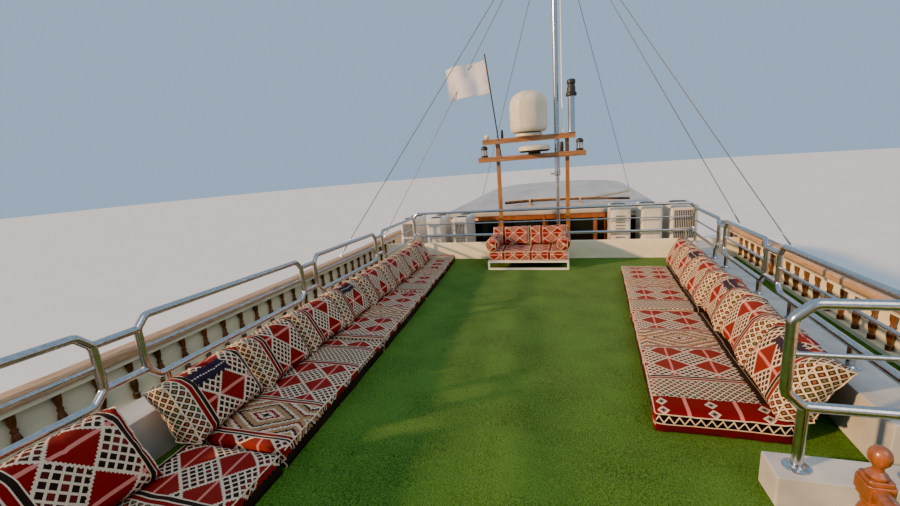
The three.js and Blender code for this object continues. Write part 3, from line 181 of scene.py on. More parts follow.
# Shapes
def circle(radius, sides, height=0.0):
    """Points round the Z axis."""
    angles = (2 * math.pi * i / sides for i in range(sides))
    return [Vector((radius * math.cos(a), radius * math.sin(a), height)) for a in angles]


class Draft:
    """Vertices, faces and finish numbers, gathered before they become one piece."""

    def __init__(self):
        self.verts, self.faces, self.inks, self.uvs = [], [], [], {}

    def grid(self, rows, around=False, along=False, ends=False, ink=0):
        """Joins rows of points: around closes each row, along joins the last row to the first."""
        base, n = len(self.verts), len(rows[0])
        for row in rows:
            self.verts.extend(tuple(p) for p in row)
        for i in range(len(rows) if along else len(rows) - 1):
            a, b = base + i * n, base + ((i + 1) % len(rows)) * n
            for j in range(n if around else n - 1):
                k = (j + 1) % n
                self.faces.append((a + j, a + k, b + k, b + j))
                self.inks.append(ink)
        if ends:
            self.faces.append(tuple(base + j for j in reversed(range(n))))
            self.faces.append(tuple(base + (len(rows) - 1) * n + j for j in range(n)))
            self.inks += [ink, ink]

    def box(self, low, high, ink=0, shape=None):
        """A box by two corners, or the same with each corner passed through shape."""
        (x0, y0, z0), (x1, y1, z1) = low, high
        move = shape or (lambda p: p)
        rows = [[move((x, y, z)) for y, z in ((y0, z0), (y1, z0), (y1, z1), (y0, z1))] for x in (x0, x1)]
        self.grid(rows, around=True, ends=True, ink=ink)

    def turned(self, profile, place=(0, 0, 0), sides=20, ink=0):
        """A profile of (radius, height) turned about Z, then placed by a point or a matrix."""
        place = place if isinstance(place, Matrix) else Matrix.Translation(place)
        rows = [[place @ p for p in circle(r, sides, z)] for r, z in profile]
        self.grid(rows, around=True, ends=True, ink=ink)

    def tube(self, points, radius, sides=8, closed=False, ink=0):
        """A round bar through points."""
        pts = [Vector(p) for p in points]
        n = len(pts)
        rows, across = [], None
        for i, p in enumerate(pts):
            before = pts[i - 1] if i or closed else p
            after = pts[(i + 1) % n] if i < n - 1 or closed else p
            ahead = (after - before).normalized()
            across = (across or ahead.orthogonal()).cross(ahead).cross(ahead) * -1
            across = across.normalized() if across.length > 1e-6 else ahead.orthogonal().normalized()
            other = ahead.cross(across)
            rows.append([
                p + radius * (math.cos(a) * across + math.sin(a) * other)
                for a in (2 * math.pi * j / sides for j in range(sides))
            ])
        self.grid(rows, around=True, along=closed, ends=not closed, ink=ink)

    def trim(self, place, low, high, width, out, ink=0):
        """A mitred moulding round an opening: place turns (across, up, out) into a point."""
        rows = []
        for across, up, (u, v) in ((-1, -1, low), (1, -1, (high[0], low[1])), (1, 1, high),
                                   (-1, 1, (low[0], high[1]))):
            rows.append([place(u + across * w * width, v + up * w * width, out[0] + (out[1] - out[0]) * t)
                         for w, t in ((0, 0), (1, 0), (1, 0.6), (0.8, 1), (0.25, 1), (0, 0.7))])
        self.grid(rows, around=True, along=True, ink=ink)

    def mesh(self, name, finishes):
        """The draft as a mesh with its finishes."""
        mesh = bpy.data.meshes.new(name)
        mesh.from_pydata(self.verts, [], self.faces)
        for finish in finishes:
            mesh.materials.append(finish)
        mesh.polygons.foreach_set("material_index", self.inks)
        return mesh

    def shape(self, name, finishes=()):
        """The draft as an object that a later step uses up."""
        mesh = self.mesh(name, finishes)
        face_out(mesh)
        return show(name, mesh)

    def add(self, verts, faces, ink=0, uv=None):
        """Adds a mesh as it is; uv gives one pair for each corner of each face, and ink may be a list."""
        base, first = len(self.verts), len(self.faces)
        self.verts.extend(tuple(v) for v in verts)
        self.faces.extend(tuple(base + i for i in f) for f in faces)
        self.inks.extend(ink if isinstance(ink, list) else [ink] * len(faces))
        if uv:
            self.uvs.update({first + i: pairs for i, pairs in enumerate(uv)})

    def piece(self, name, finishes, slot, *nodes, body="boat", bevel=0.0, crease=35, turn_out=True):
        """Makes the piece: its finishes, the nodes that it stands for, and the body it rides on; slot is not
        used.
        """
        mesh = self.mesh(name, finishes)
        if self.uvs:
            layer = mesh.uv_layers.new(name="cloth")
            for i, pairs in self.uvs.items():
                for corner, pair in zip(mesh.polygons[i].loop_indices, pairs):
                    layer.data[corner].uv = pair
        if turn_out:
            face_out(mesh)
        mesh.shade_smooth()
        mesh.set_sharp_from_angle(angle=math.radians(crease))
        return settle(show(name, mesh), slot, *nodes, body=body, bevel=bevel)


def face_out(mesh):
    """Turns all faces of a mesh outward."""
    bm = bmesh.new()
    bm.from_mesh(mesh)
    bmesh.ops.recalc_face_normals(bm, faces=bm.faces)
    bm.to_mesh(mesh)
    bm.free()


def ease(piece, bevel):
    """Eases the edges of a piece by a small bevel."""
    edge = piece.modifiers.new("Worn edges", "BEVEL")
    edge.width = bevel
    edge.segments = 2
    edge.limit_method = "ANGLE"
    edge.angle_limit = math.radians(40)


def show(name, mesh):
    """An object of the scene for a mesh."""
    piece = bpy.data.objects.new(name, mesh)
    bpy.context.scene.collection.objects.link(piece)
    return piece


def settle(piece, slot, *nodes, body="boat", bevel=0.0):
    """Says which body a piece rides on and hides the nodes that it replaces; slot is not used."""
    if bevel:
        ease(piece, bevel)
    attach(piece, body)
    if nodes:
        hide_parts(*nodes)
    return piece


def dress(finish, *nodes, bevel=0.0):
    """Gives CAD nodes their finish, with edges eased by a bevel that leaves their meshes alone."""
    for name in nodes:
        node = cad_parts[name]
        node.data.materials.clear()
        node.data.materials.append(finish)
        if bevel:
            node.modifiers.new("Joined faces", "WELD").merge_threshold = 0.00005
            ease(node, bevel)


# Nodes, for finishes and for geometry
def put(tree, kind, links=None, stops=None, blend="LINEAR", into=None, **settings):
    """Adds one node with its settings, links and stops; a link is a node, an output or a plain value."""
    node = tree.nodes.new(kind)
    for key, value in settings.items():
        setattr(node, key, value)
    for socket, source in (links or {}).items():
        if isinstance(source, bpy.types.Node):
            source = source.outputs[0]
        if isinstance(source, bpy.types.NodeSocket):
            tree.links.new(source, node.inputs[socket])
        elif source is not None:
            node.inputs[socket].default_value = source
    if stops:
        elements = node.color_ramp.elements
        while len(elements) < len(stops):
            elements.new(1.0)
        for element, (position, value) in zip(elements, stops):
            element.position = position
            element.color = linear(value)
        node.color_ramp.interpolation = blend
    if into:
        tree.links.new(node.outputs[0], into)
    return node


def new_tree(name, inputs):
    """A geometry tree with its named inputs; each row is (name, socket type, default)."""
    tree = bpy.data.node_groups.new(name, "GeometryNodeTree")
    tree.interface.new_socket("Geometry", in_out="INPUT", socket_type="NodeSocketGeometry")
    tree.interface.new_socket("Geometry", in_out="OUTPUT", socket_type="NodeSocketGeometry")
    for label, kind, default in inputs:
        socket = tree.interface.new_socket(label, in_out="INPUT", socket_type=kind)
        if default is not None:
            socket.default_value = default
    return tree, put(tree, "NodeGroupInput")


def end_tree(tree, source, finish):
    """Closes a tree with Realize Instances and Set Material."""
    real = put(tree, "GeometryNodeRealizeInstances", {0: source})
    inked = put(tree, "GeometryNodeSetMaterial", {"Geometry": real, "Material": finish})
    put(tree, "NodeGroupOutput", {0: inked})
    return tree


def swept_tree():
    """Sweeps a round bar along the edges of its input, with bent corners."""
    tree, given = new_tree("Bar along a path", [
        ("Radius", "NodeSocketFloat", 0.025),
        ("Bend", "NodeSocketFloat", 0.05),
        ("Sides", "NodeSocketInt", 12),
        ("Finish", "NodeSocketMaterial", None),
    ])
    path = put(tree, "GeometryNodeMeshToCurve", {"Mesh": given.outputs["Geometry"]})
    bent = put(tree, "GeometryNodeFilletCurve", {"Curve": path, "Radius": given.outputs["Bend"], "Count": 5,
                                                 "Limit Radius": True}, mode="POLY")
    ring = put(tree, "GeometryNodeCurvePrimitiveCircle", {
        "Resolution": given.outputs["Sides"], "Radius": given.outputs["Radius"]})
    bar = put(tree, "GeometryNodeCurveToMesh", {"Curve": bent, "Profile Curve": ring, "Fill Caps": True})
    return end_tree(tree, bar, given.outputs["Finish"])


def scattered_tree():
    """Sets a copy of a shape on each point of its input, turned by the points' turn attribute and a random
    spin, all at one size.
    """
    tree, given = new_tree("Shape on points", [
        ("Shape", "NodeSocketObject", None),
        ("Size", "NodeSocketFloat", 1.0),
        ("Jitter", "NodeSocketFloat", 0.0),
        ("Finish", "NodeSocketMaterial", None),
    ])
    shape = put(tree, "GeometryNodeObjectInfo", {"Object": given.outputs["Shape"]})
    turn = put(tree, "GeometryNodeInputNamedAttribute", {"Name": "turn"}, data_type="FLOAT_VECTOR")
    chance = put(tree, "FunctionNodeRandomValue", {"Seed": 7}, data_type="FLOAT")
    tree.links.new(given.outputs["Jitter"], chance.inputs[3])
    facing = put(tree, "FunctionNodeEulerToRotation", {"Euler": turn.outputs["Attribute"]})
    spin = put(tree, "ShaderNodeCombineXYZ", {"Z": chance.outputs[1]})
    spun = put(tree, "FunctionNodeRotateRotation", {
        "Rotation": facing, "Rotate By": put(tree, "FunctionNodeEulerToRotation", {"Euler": spin})},
        rotation_space="LOCAL")
    set_out = put(tree, "GeometryNodeInstanceOnPoints", {
        "Points": given.outputs["Geometry"], "Instance": shape.outputs["Geometry"],
        "Rotation": spun, "Scale": given.outputs["Size"]})
    return end_tree(tree, set_out, given.outputs["Finish"])


TREES = {}


def grown(name, mesh, tree_maker, settings, slot, *nodes, body="boat", crease=40):
    """Runs a tree on a mesh and keeps the result as one plain piece."""
    if tree_maker not in TREES:
        TREES[tree_maker] = tree_maker()
    tree = TREES[tree_maker]
    source = show(name + "_source", mesh)
    modifier = source.modifiers.new(tree.name, "NODES")
    modifier.node_group = tree
    for item in tree.interface.items_tree:
        if item.in_out == "INPUT" and item.name in settings:
            modifier[item.identifier] = settings[item.name]
    seen = source.evaluated_get(bpy.context.evaluated_depsgraph_get())
    result = bpy.data.meshes.new_from_object(seen)
    result.name = name
    bpy.data.objects.remove(source)
    if not result.polygons:
        raise RuntimeError(f"{name}: its tree made no faces")
    result.shade_smooth()
    result.set_sharp_from_angle(angle=math.radians(crease))
    return settle(show(name, result), slot, *nodes, body=body)


def path_mesh(paths):
    """Polylines as a mesh of edges; a path is (points, closed)."""
    verts, edges = [], []
    for points, closed in paths:
        base, n = len(verts), len(points)
        verts.extend(tuple(p) for p in points)
        edges.extend((base + i, base + (i + 1) % n) for i in range(n if closed else n - 1))
    mesh = bpy.data.meshes.new("paths")
    mesh.from_pydata(verts, edges, [])
    return mesh


def bars(name, paths, radius, finish, slot, *nodes, bend=0.0, sides=10, body="boat"):
    """Round bars along paths."""
    settings = {"Radius": radius, "Bend": bend, "Sides": sides, "Finish": finish}
    return grown(name, path_mesh(paths), swept_tree, settings, slot, *nodes, body=body)


def scattered(name, shape, places, finish, slot, *nodes, size=1.0, jitter=0.0, body="boat"):
    """Copies of a shape at places; a place is (point, turn about X, Y and Z)."""
    mesh = bpy.data.meshes.new("places")
    mesh.from_pydata([tuple(p) for p, _ in places], [], [])
    turns = mesh.attributes.new("turn", "FLOAT_VECTOR", "POINT")
    turns.data.foreach_set("vector", [c for _, turn in places for c in turn])
    settings = {"Shape": shape, "Size": size, "Jitter": jitter, "Finish": finish}
    piece = grown(name, mesh, scattered_tree, settings, slot, *nodes, body=body)
    bpy.data.objects.remove(shape)
    return piece


# Finishes
FINISHES = {}


def finish(name, base, roughness, metallic=0.0, **sockets):
    """A new material with its shader's plain values; its tree, shader and object coordinates are kept."""
    made = bpy.data.materials.new(name)
    made.use_nodes = True
    tree = made.node_tree
    shader = tree.nodes["Principled BSDF"]
    sockets = {"Base Color": linear(base), "Roughness": roughness, "Metallic": metallic} | sockets
    for key, value in sockets.items():
        shader.inputs[key.replace("_", " ")].default_value = value
    FINISHES[name] = made
    return tree, shader, put(tree, "ShaderNodeTexCoord").outputs["Object"]


def looks(*names):
    """Finishes by their names."""
    return [FINISHES[name] for name in names]


def mottled(tree, shader, coords, size, hues, relief=0.0, gloss=None, contrast=(0.3, 0.7), detail=4.0):
    """Colour, gloss and relief from one noise; size is the feature's length along X, Y and Z in metres."""
    scaled = put(tree, "ShaderNodeMapping", {"Vector": coords, "Scale": tuple(1 / s for s in size)})
    cloud = put(tree, "ShaderNodeTexNoise", {"Vector": scaled, "Scale": 1.0, "Detail": detail})
    ramp = put(tree, "ShaderNodeValToRGB", {"Fac": cloud.outputs["Fac"]}, list(zip(contrast, hues)),
               into=shader.inputs["Base Color"])
    if gloss:
        put(tree, "ShaderNodeMapRange",
            {"Value": cloud.outputs["Fac"], "To Min": gloss[0], "To Max": gloss[1]},
            into=shader.inputs["Roughness"])
    if relief:
        put(tree, "ShaderNodeBump", {"Height": cloud.outputs["Fac"], "Distance": relief},
            into=shader.inputs["Normal"])
    return ramp


def fed(shader, socket):
    """What feeds a shader's socket so far, or None."""
    links = shader.inputs[socket].links
    return links[0].from_socket if links else None


def coated(name, base, roughness, size, hues, relief=0.0, gloss=None, **settings):
    """A finish that is a mottled surface and nothing more."""
    mottled(*finish(name, base, roughness, **settings), size, hues, relief=relief, gloss=gloss)


def timber(name, dark, light, roughness, grain=(0.5, 0.006, 0.006), coat=0.0, weather=0.25):
    """Sawn and finished timber: long grain streaks, weathered patches and open pores."""
    tree, shader, coords = finish(name, light, roughness, Coat_Weight=coat, Coat_Roughness=0.12)
    ramp = mottled(tree, shader, coords, grain, (dark, light), relief=0.0006,
                   gloss=(roughness + 0.08, roughness - 0.06), contrast=(0.32, 0.68))
    patches = put(tree, "ShaderNodeTexNoise", {"Vector": coords, "Scale": 1.6, "Detail": 3.0})
    worn = put(tree, "ShaderNodeMixRGB", {"Fac": put(tree, "ShaderNodeMath", {0: patches, 1: weather},
                                                     operation="MULTIPLY"),
                                          "Color1": ramp.outputs["Color"], "Color2": linear("c9b497")})
    tree.links.new(worn.outputs["Color"], shader.inputs["Base Color"])
    return tree, shader, coords


def seams(tree, shader, coords, axis, pitch, width, dark="241a12", depth=0.003):
    """Caulked seams across an axis of the object: dark narrow lines at a pitch, sunk in the surface."""
    parts = put(tree, "ShaderNodeSeparateXYZ", {0: coords})
    wave = put(tree, "ShaderNodeMath", {0: parts.outputs[axis], 1: pitch / 2}, operation="PINGPONG")
    line = put(tree, "ShaderNodeMath", {0: wave, 1: width / 2}, operation="LESS_THAN")
    below = shader.inputs["Base Color"].links[0].from_socket
    put(tree, "ShaderNodeMixRGB", {"Fac": line, "Color1": below, "Color2": linear(dark)},
        into=shader.inputs["Base Color"])
    raised = put(tree, "ShaderNodeMath", {0: 1.0, 1: line}, operation="SUBTRACT")
    put(tree, "ShaderNodeBump", {"Height": raised, "Distance": depth, "Normal": fed(shader, "Normal")},
        into=shader.inputs["Normal"])


# Woven bands: the cloth's coordinates are metres, u along the seat and v across it
# columns: share of one repeat, then the field that fills it, or the colour of a narrow stripe
MATTRESS_BANDS = (
    (0.000, "lattice"), (0.066, "d5c2a8"), (0.070, "7a070b"), (0.082, "d5c2a8"), (0.085, "17130f"),
    (0.095, "d5c2a8"), (0.099, "field"), (0.361, "d5c2a8"), (0.364, "17130f"), (0.374, "d5c2a8"),
    (0.377, "7a070b"), (0.389, "d5c2a8"), (0.392, "steps"), (0.572, "d5c2a8"), (0.575, "7a070b"),
    (0.587, "d5c2a8"), (0.590, "17130f"), (0.600, "d5c2a8"), (0.603, "field"), (0.897, "d5c2a8"),
    (0.901, "7a070b"), (0.915, "d5c2a8"), (0.918, "17130f"), (0.928, "d5c2a8"), (0.932, "lattice"),
)
CUSHION_BANDS = (
    (0.000, "lattice"), (0.120, "d5c2a8"), (0.130, "7a070b"), (0.172, "d5c2a8"), (0.180, "17130f"),
    (0.215, "d5c2a8"), (0.225, "field"), (0.775, "d5c2a8"), (0.785, "17130f"), (0.820, "d5c2a8"),
    (0.828, "7a070b"), (0.870, "d5c2a8"), (0.880, "lattice"),
)
BENCH_BANDS = (
    (0.000, "field"), (0.300, "d5c2a8"), (0.308, "7a070b"), (0.350, "17130f"), (0.366, "d5c2a8"),
    (0.374, "field"), (0.905, "d5c2a8"), (0.913, "17130f"), (0.930, "7a070b"), (0.972, "d5c2a8"),
    (0.980, "field"),
)
LATTICE_BANDS = ((0.0, "lattice"), (0.999, "lattice"))
REPEAT = 1.97
END_START, END_LENGTH = -0.354, 0.224
MASKS = {"field": (1, 0, 0, 1), "lattice": (0, 1, 0, 1), "steps": (0, 0, 1, 1)}


def woven(name, repeat, bands, diamond, band, tint, span=(0.5, 1.0), foot=-9.0,
          squares=(-0.35, 0.14)):
    """Hand-loomed wool bands: red diamonds, dice lattices and stepped figures in cream outlines."""
    # Wool has no gloss and a short fuzz, and its threads of about 3 mm give a fine ribbed relief
    tree, shader, _ = finish(name, tint, 0.95, Sheen_Weight=0.02, Sheen_Roughness=0.6,
                             Specular_IOR_Level=0.15)
    cream, black, pink = linear("d5c2a8"), linear("0e0a09"), linear("c9786c")
    cloth = put(tree, "ShaderNodeUVMap", uv_map="cloth")
    flat = put(tree, "ShaderNodeSeparateXYZ", {0: cloth})
    u, v = flat.outputs[0], flat.outputs[1]

    # Diamond cells, turned so that their sides are the cell walls, with toothed edges
    cells = put(tree, "ShaderNodeMapping", {
        "Vector": cloth, "Rotation": (0, 0, math.pi / 4),
        "Scale": (math.sqrt(2) / diamond[0], math.sqrt(2) / diamond[1], 1)})
    apart = put(tree, "ShaderNodeSeparateXYZ", {0: cells})
    teeth = [put(tree, "ShaderNodeMath", {0: put(tree, "ShaderNodeMath", {0: apart.outputs[i], 1: 0.045},
                                                 operation="PINGPONG"), 1: 0.8}, operation="MULTIPLY")
             for i in (1, 0)]
    toothed = put(tree, "ShaderNodeVectorMath", {
        0: cells, 1: put(tree, "ShaderNodeCombineXYZ", {0: teeth[0], 1: teeth[1], 2: 1.5})}, operation="ADD")
    which = put(tree, "ShaderNodeTexChecker", {"Vector": toothed, "Scale": 1.0}).outputs["Fac"]
    brick = {"Color1": black, "Color2": linear("7a1f22"), "Mortar": cream, "Mortar Smooth": 0.0,
             "Brick Width": 1.0, "Row Height": 1.0}
    dice = put(tree, "ShaderNodeTexBrick", brick | {"Vector": cells, "Scale": 5.0, "Mortar Size": squares[1],
                                                    "Bias": squares[0]}, offset=0.0)
    wall = put(tree, "ShaderNodeTexBrick", brick | {"Vector": toothed, "Scale": 1.0, "Mortar Size": 0.035},
               offset=0.0).outputs["Fac"]
    lane = put(tree, "ShaderNodeMath", {0: v, 1: diamond[1] / 2}, operation="PINGPONG")
    lane = put(tree, "ShaderNodeMath", {0: lane, 1: 0.0085}, operation="LESS_THAN")
    red = put(tree, "ShaderNodeMixRGB", {"Fac": lane, "Color1": linear(tint), "Color2": pink})
    field = put(tree, "ShaderNodeMixRGB", {"Fac": which, "Color1": dice.outputs["Color"], "Color2": red})
    field = put(tree, "ShaderNodeMixRGB", {"Fac": wall, "Color1": field, "Color2": cream})

    # Small diamonds of 45 mm in cream lines, each with a coloured heart
    small = put(tree, "ShaderNodeMapping", {"Vector": cloth, "Rotation": (0, 0, math.pi / 4),
                                            "Scale": (26.0, 30.0, 1)})
    net = put(tree, "ShaderNodeTexBrick", brick | {
        "Vector": small, "Scale": 1.0, "Mortar Size": 0.12, "Color1": linear("2a1510"),
        "Color2": linear("24301f"), "Bias": 0.0}, offset=0.0)
    heart = put(tree, "ShaderNodeTexBrick", brick | {
        "Vector": small, "Scale": 1.0, "Mortar Size": 0.33, "Color1": linear("a8392a"),
        "Color2": linear("5f6b46"), "Bias": 0.1}, offset=0.0)
    lattice = put(tree, "ShaderNodeMixRGB", {"Fac": heart.outputs["Fac"], "Color1": heart.outputs["Color"],
                                             "Color2": net.outputs["Color"]})

    # Stepped figures, one inside the other, in steps of 12 mm
    place = put(tree, "ShaderNodeMath",
                {0: put(tree, "ShaderNodeMath", {0: u, 1: repeat}, operation="DIVIDE")}, operation="FRACT")
    sides = []
    for value, scale, centre, reach in ((place, repeat, 0.95, 0.177), (v, 1.0, 0.145, diamond[1])):
        from_centre = put(tree, "ShaderNodeMath", {0: value, 1: scale, 2: -centre}, operation="MULTIPLY_ADD")
        snapped = put(tree, "ShaderNodeMath", {0: from_centre, 1: 0.012}, operation="SNAP")
        folded = put(tree, "ShaderNodeMath", {0: snapped, 1: reach}, operation="PINGPONG")
        sides.append(put(tree, "ShaderNodeMath", {0: folded, 1: reach * 2}, operation="DIVIDE"))
    rings = put(tree, "ShaderNodeMath", {0: sides[0], 1: sides[1]}, operation="ADD")
    steps = put(tree, "ShaderNodeValToRGB", {"Fac": rings}, blend="CONSTANT", stops=(
        (0.0, "17130f"), (0.07, "d5c2a8"), (0.13, "7a070b"), (0.2, "d5c2a8"), (0.25, "a07a55"),
        (0.37, "17130f"), (0.42, "d5c2a8"), (0.47, "a07a55"), (0.58, "6d1a1c"), (0.63, "d5c2a8"),
        (0.7, "a07a55"), (0.8, "17130f"), (0.86, "d5c2a8"), (0.92, "a07a55")))

    look = put(tree, "ShaderNodeValToRGB", {"Fac": place}, blend="CONSTANT",
               stops=[(at, "17130f" if what in MASKS else what) for at, what in bands])
    mask = put(tree, "ShaderNodeValToRGB", {"Fac": place}, blend="CONSTANT",
               stops=[(at, MASKS.get(what, (0, 0, 0, 1))) for at, what in bands])
    masks = put(tree, "ShaderNodeSeparateColor", {0: mask})
    for i, source in enumerate((field, lattice, steps)):
        look = put(tree, "ShaderNodeMixRGB", {"Fac": masks.outputs[i], "Color1": look, "Color2": source})

    # One dark band along the cloth with notched edges and a broken cream line
    low, high, hue = band
    notch = put(tree, "ShaderNodeMath",
                {0: put(tree, "ShaderNodeMath", {0: u, 1: 0.02}, operation="PINGPONG"),
                                         1: 0.9}, operation="MULTIPLY")
    over = put(tree, "ShaderNodeMath",
               {0: put(tree, "ShaderNodeMath", {0: v, 1: notch}, operation="SUBTRACT"),
                                        1: low}, operation="GREATER_THAN")
    under = put(tree, "ShaderNodeMath", {0: put(tree, "ShaderNodeMath", {0: v, 1: notch}, operation="ADD"),
                                         1: high}, operation="LESS_THAN")
    inside = put(tree, "ShaderNodeMath", {0: over, 1: under}, operation="MULTIPLY")
    within = put(tree, "ShaderNodeMath", {0: place, 1: span[0], 2: span[1]}, operation="COMPARE")
    inside = put(tree, "ShaderNodeMath", {0: inside, 1: within}, operation="MULTIPLY")
    middle = put(tree, "ShaderNodeMath", {0: v, 1: low + 0.055, 2: 0.0035}, operation="COMPARE")
    broken = put(tree, "ShaderNodeMath",
                 {0: put(tree, "ShaderNodeMath", {0: u, 1: 0.012}, operation="PINGPONG"),
                                          1: 0.007}, operation="LESS_THAN")
    dashes = put(tree, "ShaderNodeMath", {0: middle, 1: broken}, operation="MULTIPLY")
    navy = put(tree, "ShaderNodeMixRGB", {"Fac": dashes, "Color1": linear(hue), "Color2": cream})
    look = put(tree, "ShaderNodeMixRGB", {"Fac": inside, "Color1": look, "Color2": navy})
    # The lower half of a mattress's boxing is black with the same notches
    lowest = put(tree, "ShaderNodeMath",
                 {0: put(tree, "ShaderNodeMath", {0: v, 1: notch}, operation="ADD"), 1: foot},
                 operation="LESS_THAN")
    look = put(tree, "ShaderNodeMixRGB", {"Fac": lowest, "Color1": look, "Color2": black})

    # Sun and use have faded it in soft patches of about 0.4 m
    faded = put(tree, "ShaderNodeTexNoise", {"Vector": cloth, "Scale": 2.5, "Detail": 3.0})
    fade = put(tree, "ShaderNodeMath", {0: faded.outputs["Fac"], 1: 0.07}, operation="MULTIPLY")
    look = put(tree, "ShaderNodeMixRGB", {"Fac": fade, "Color1": look, "Color2": linear("c99a7c")})
    tree.links.new(look.outputs["Color"], shader.inputs["Base Color"])
    for turn, depth in ((0.0, 0.0008), (math.pi / 2, 0.0005)):
        lay = put(tree, "ShaderNodeMapping", {"Vector": cloth, "Rotation": (0, 0, turn)})
        threads = put(tree, "ShaderNodeTexWave", {"Vector": lay, "Scale": 50.0, "Distortion": 1.5,
                                                  "Detail": 1.0})
        put(tree, "ShaderNodeBump", {"Height": threads.outputs["Fac"], "Distance": depth,
                                     "Normal": fed(shader, "Normal")}, into=shader.inputs["Normal"])


def end_band(edge, tint):
    """The dark red end of a mattress: pink lanes and cream diamonds on top, a zigzag on its boxing."""
    # The same wool as the mattress in its fullest red, so that the row of seats ends in a dark bar
    tree, shader, _ = finish("Woven wool, end band", tint, 0.95, Sheen_Weight=0.02, Sheen_Roughness=0.6,
                             Specular_IOR_Level=0.15)
    cream, black, pink = linear("d5c2a8"), linear("0e0a09"), linear("c9786c")
    flat = put(tree, "ShaderNodeSeparateXYZ", {0: put(tree, "ShaderNodeUVMap", uv_map="cloth")})
    u, v = flat.outputs[0], flat.outputs[1]
    lane = put(tree, "ShaderNodeMath",
               {0: put(tree, "ShaderNodeMath", {0: v, 1: 0.145}, operation="PINGPONG"),
                                        1: 0.011}, operation="LESS_THAN")
    look = put(tree, "ShaderNodeMixRGB", {"Fac": lane, "Color1": linear(tint), "Color2": pink})
    # Diamonds of 90 by 110 mm between the lanes, with a grey heart
    along = put(tree, "ShaderNodeMath",
                {0: put(tree, "ShaderNodeMath", {0: u, 1: edge + 0.045}, operation="SUBTRACT"),
                                         1: 0.055}, operation="PINGPONG")
    across = put(tree, "ShaderNodeMath",
                 {0: put(tree, "ShaderNodeMath", {0: v, 1: 0.145}, operation="SUBTRACT"),
                                          1: 0.145}, operation="PINGPONG")
    far = put(tree, "ShaderNodeMath",
              {0: put(tree, "ShaderNodeMath", {0: along, 1: 0.8}, operation="MULTIPLY"),
                                       1: across}, operation="ADD")
    for reach, hue in ((0.038, cream), (0.026, linear("8c8478")), (0.014, linear("4a1014"))):
        near = put(tree, "ShaderNodeMath", {0: far, 1: reach}, operation="LESS_THAN")
        look = put(tree, "ShaderNodeMixRGB", {"Fac": near, "Color1": look, "Color2": hue})
    # Boxing: a cream zigzag on black between two cream lines, then red down to the deck
    down = put(tree, "ShaderNodeMath", {0: edge, 1: u}, operation="SUBTRACT")
    tooth = put(tree, "ShaderNodeMath",
                {0: put(tree, "ShaderNodeMath", {0: v, 1: 0.03}, operation="PINGPONG"),
                                         1: 1.5}, operation="MULTIPLY")
    zigzag = put(tree, "ShaderNodeMath", {0: down, 1: put(tree, "ShaderNodeMath", {0: tooth, 1: 0.012},
                                                          operation="ADD"), 2: 0.007}, operation="COMPARE")
    for test, hue in (((0.001, "GREATER_THAN"), black), (zigzag, cream), ((0.062, "GREATER_THAN"), cream),
                      ((0.069, "GREATER_THAN"), linear("4f070c"))):
        if isinstance(test, tuple):
            test = put(tree, "ShaderNodeMath", {0: down, 1: test[0]}, operation=test[1])
        look = put(tree, "ShaderNodeMixRGB", {"Fac": test, "Color1": look, "Color2": hue})
    tree.links.new(look.outputs["Color"], shader.inputs["Base Color"])


def darker(colour, share):
    """The same colour with less light."""
    return tuple(share * c for c in tuple(colour)[:3]) + (1.0,)


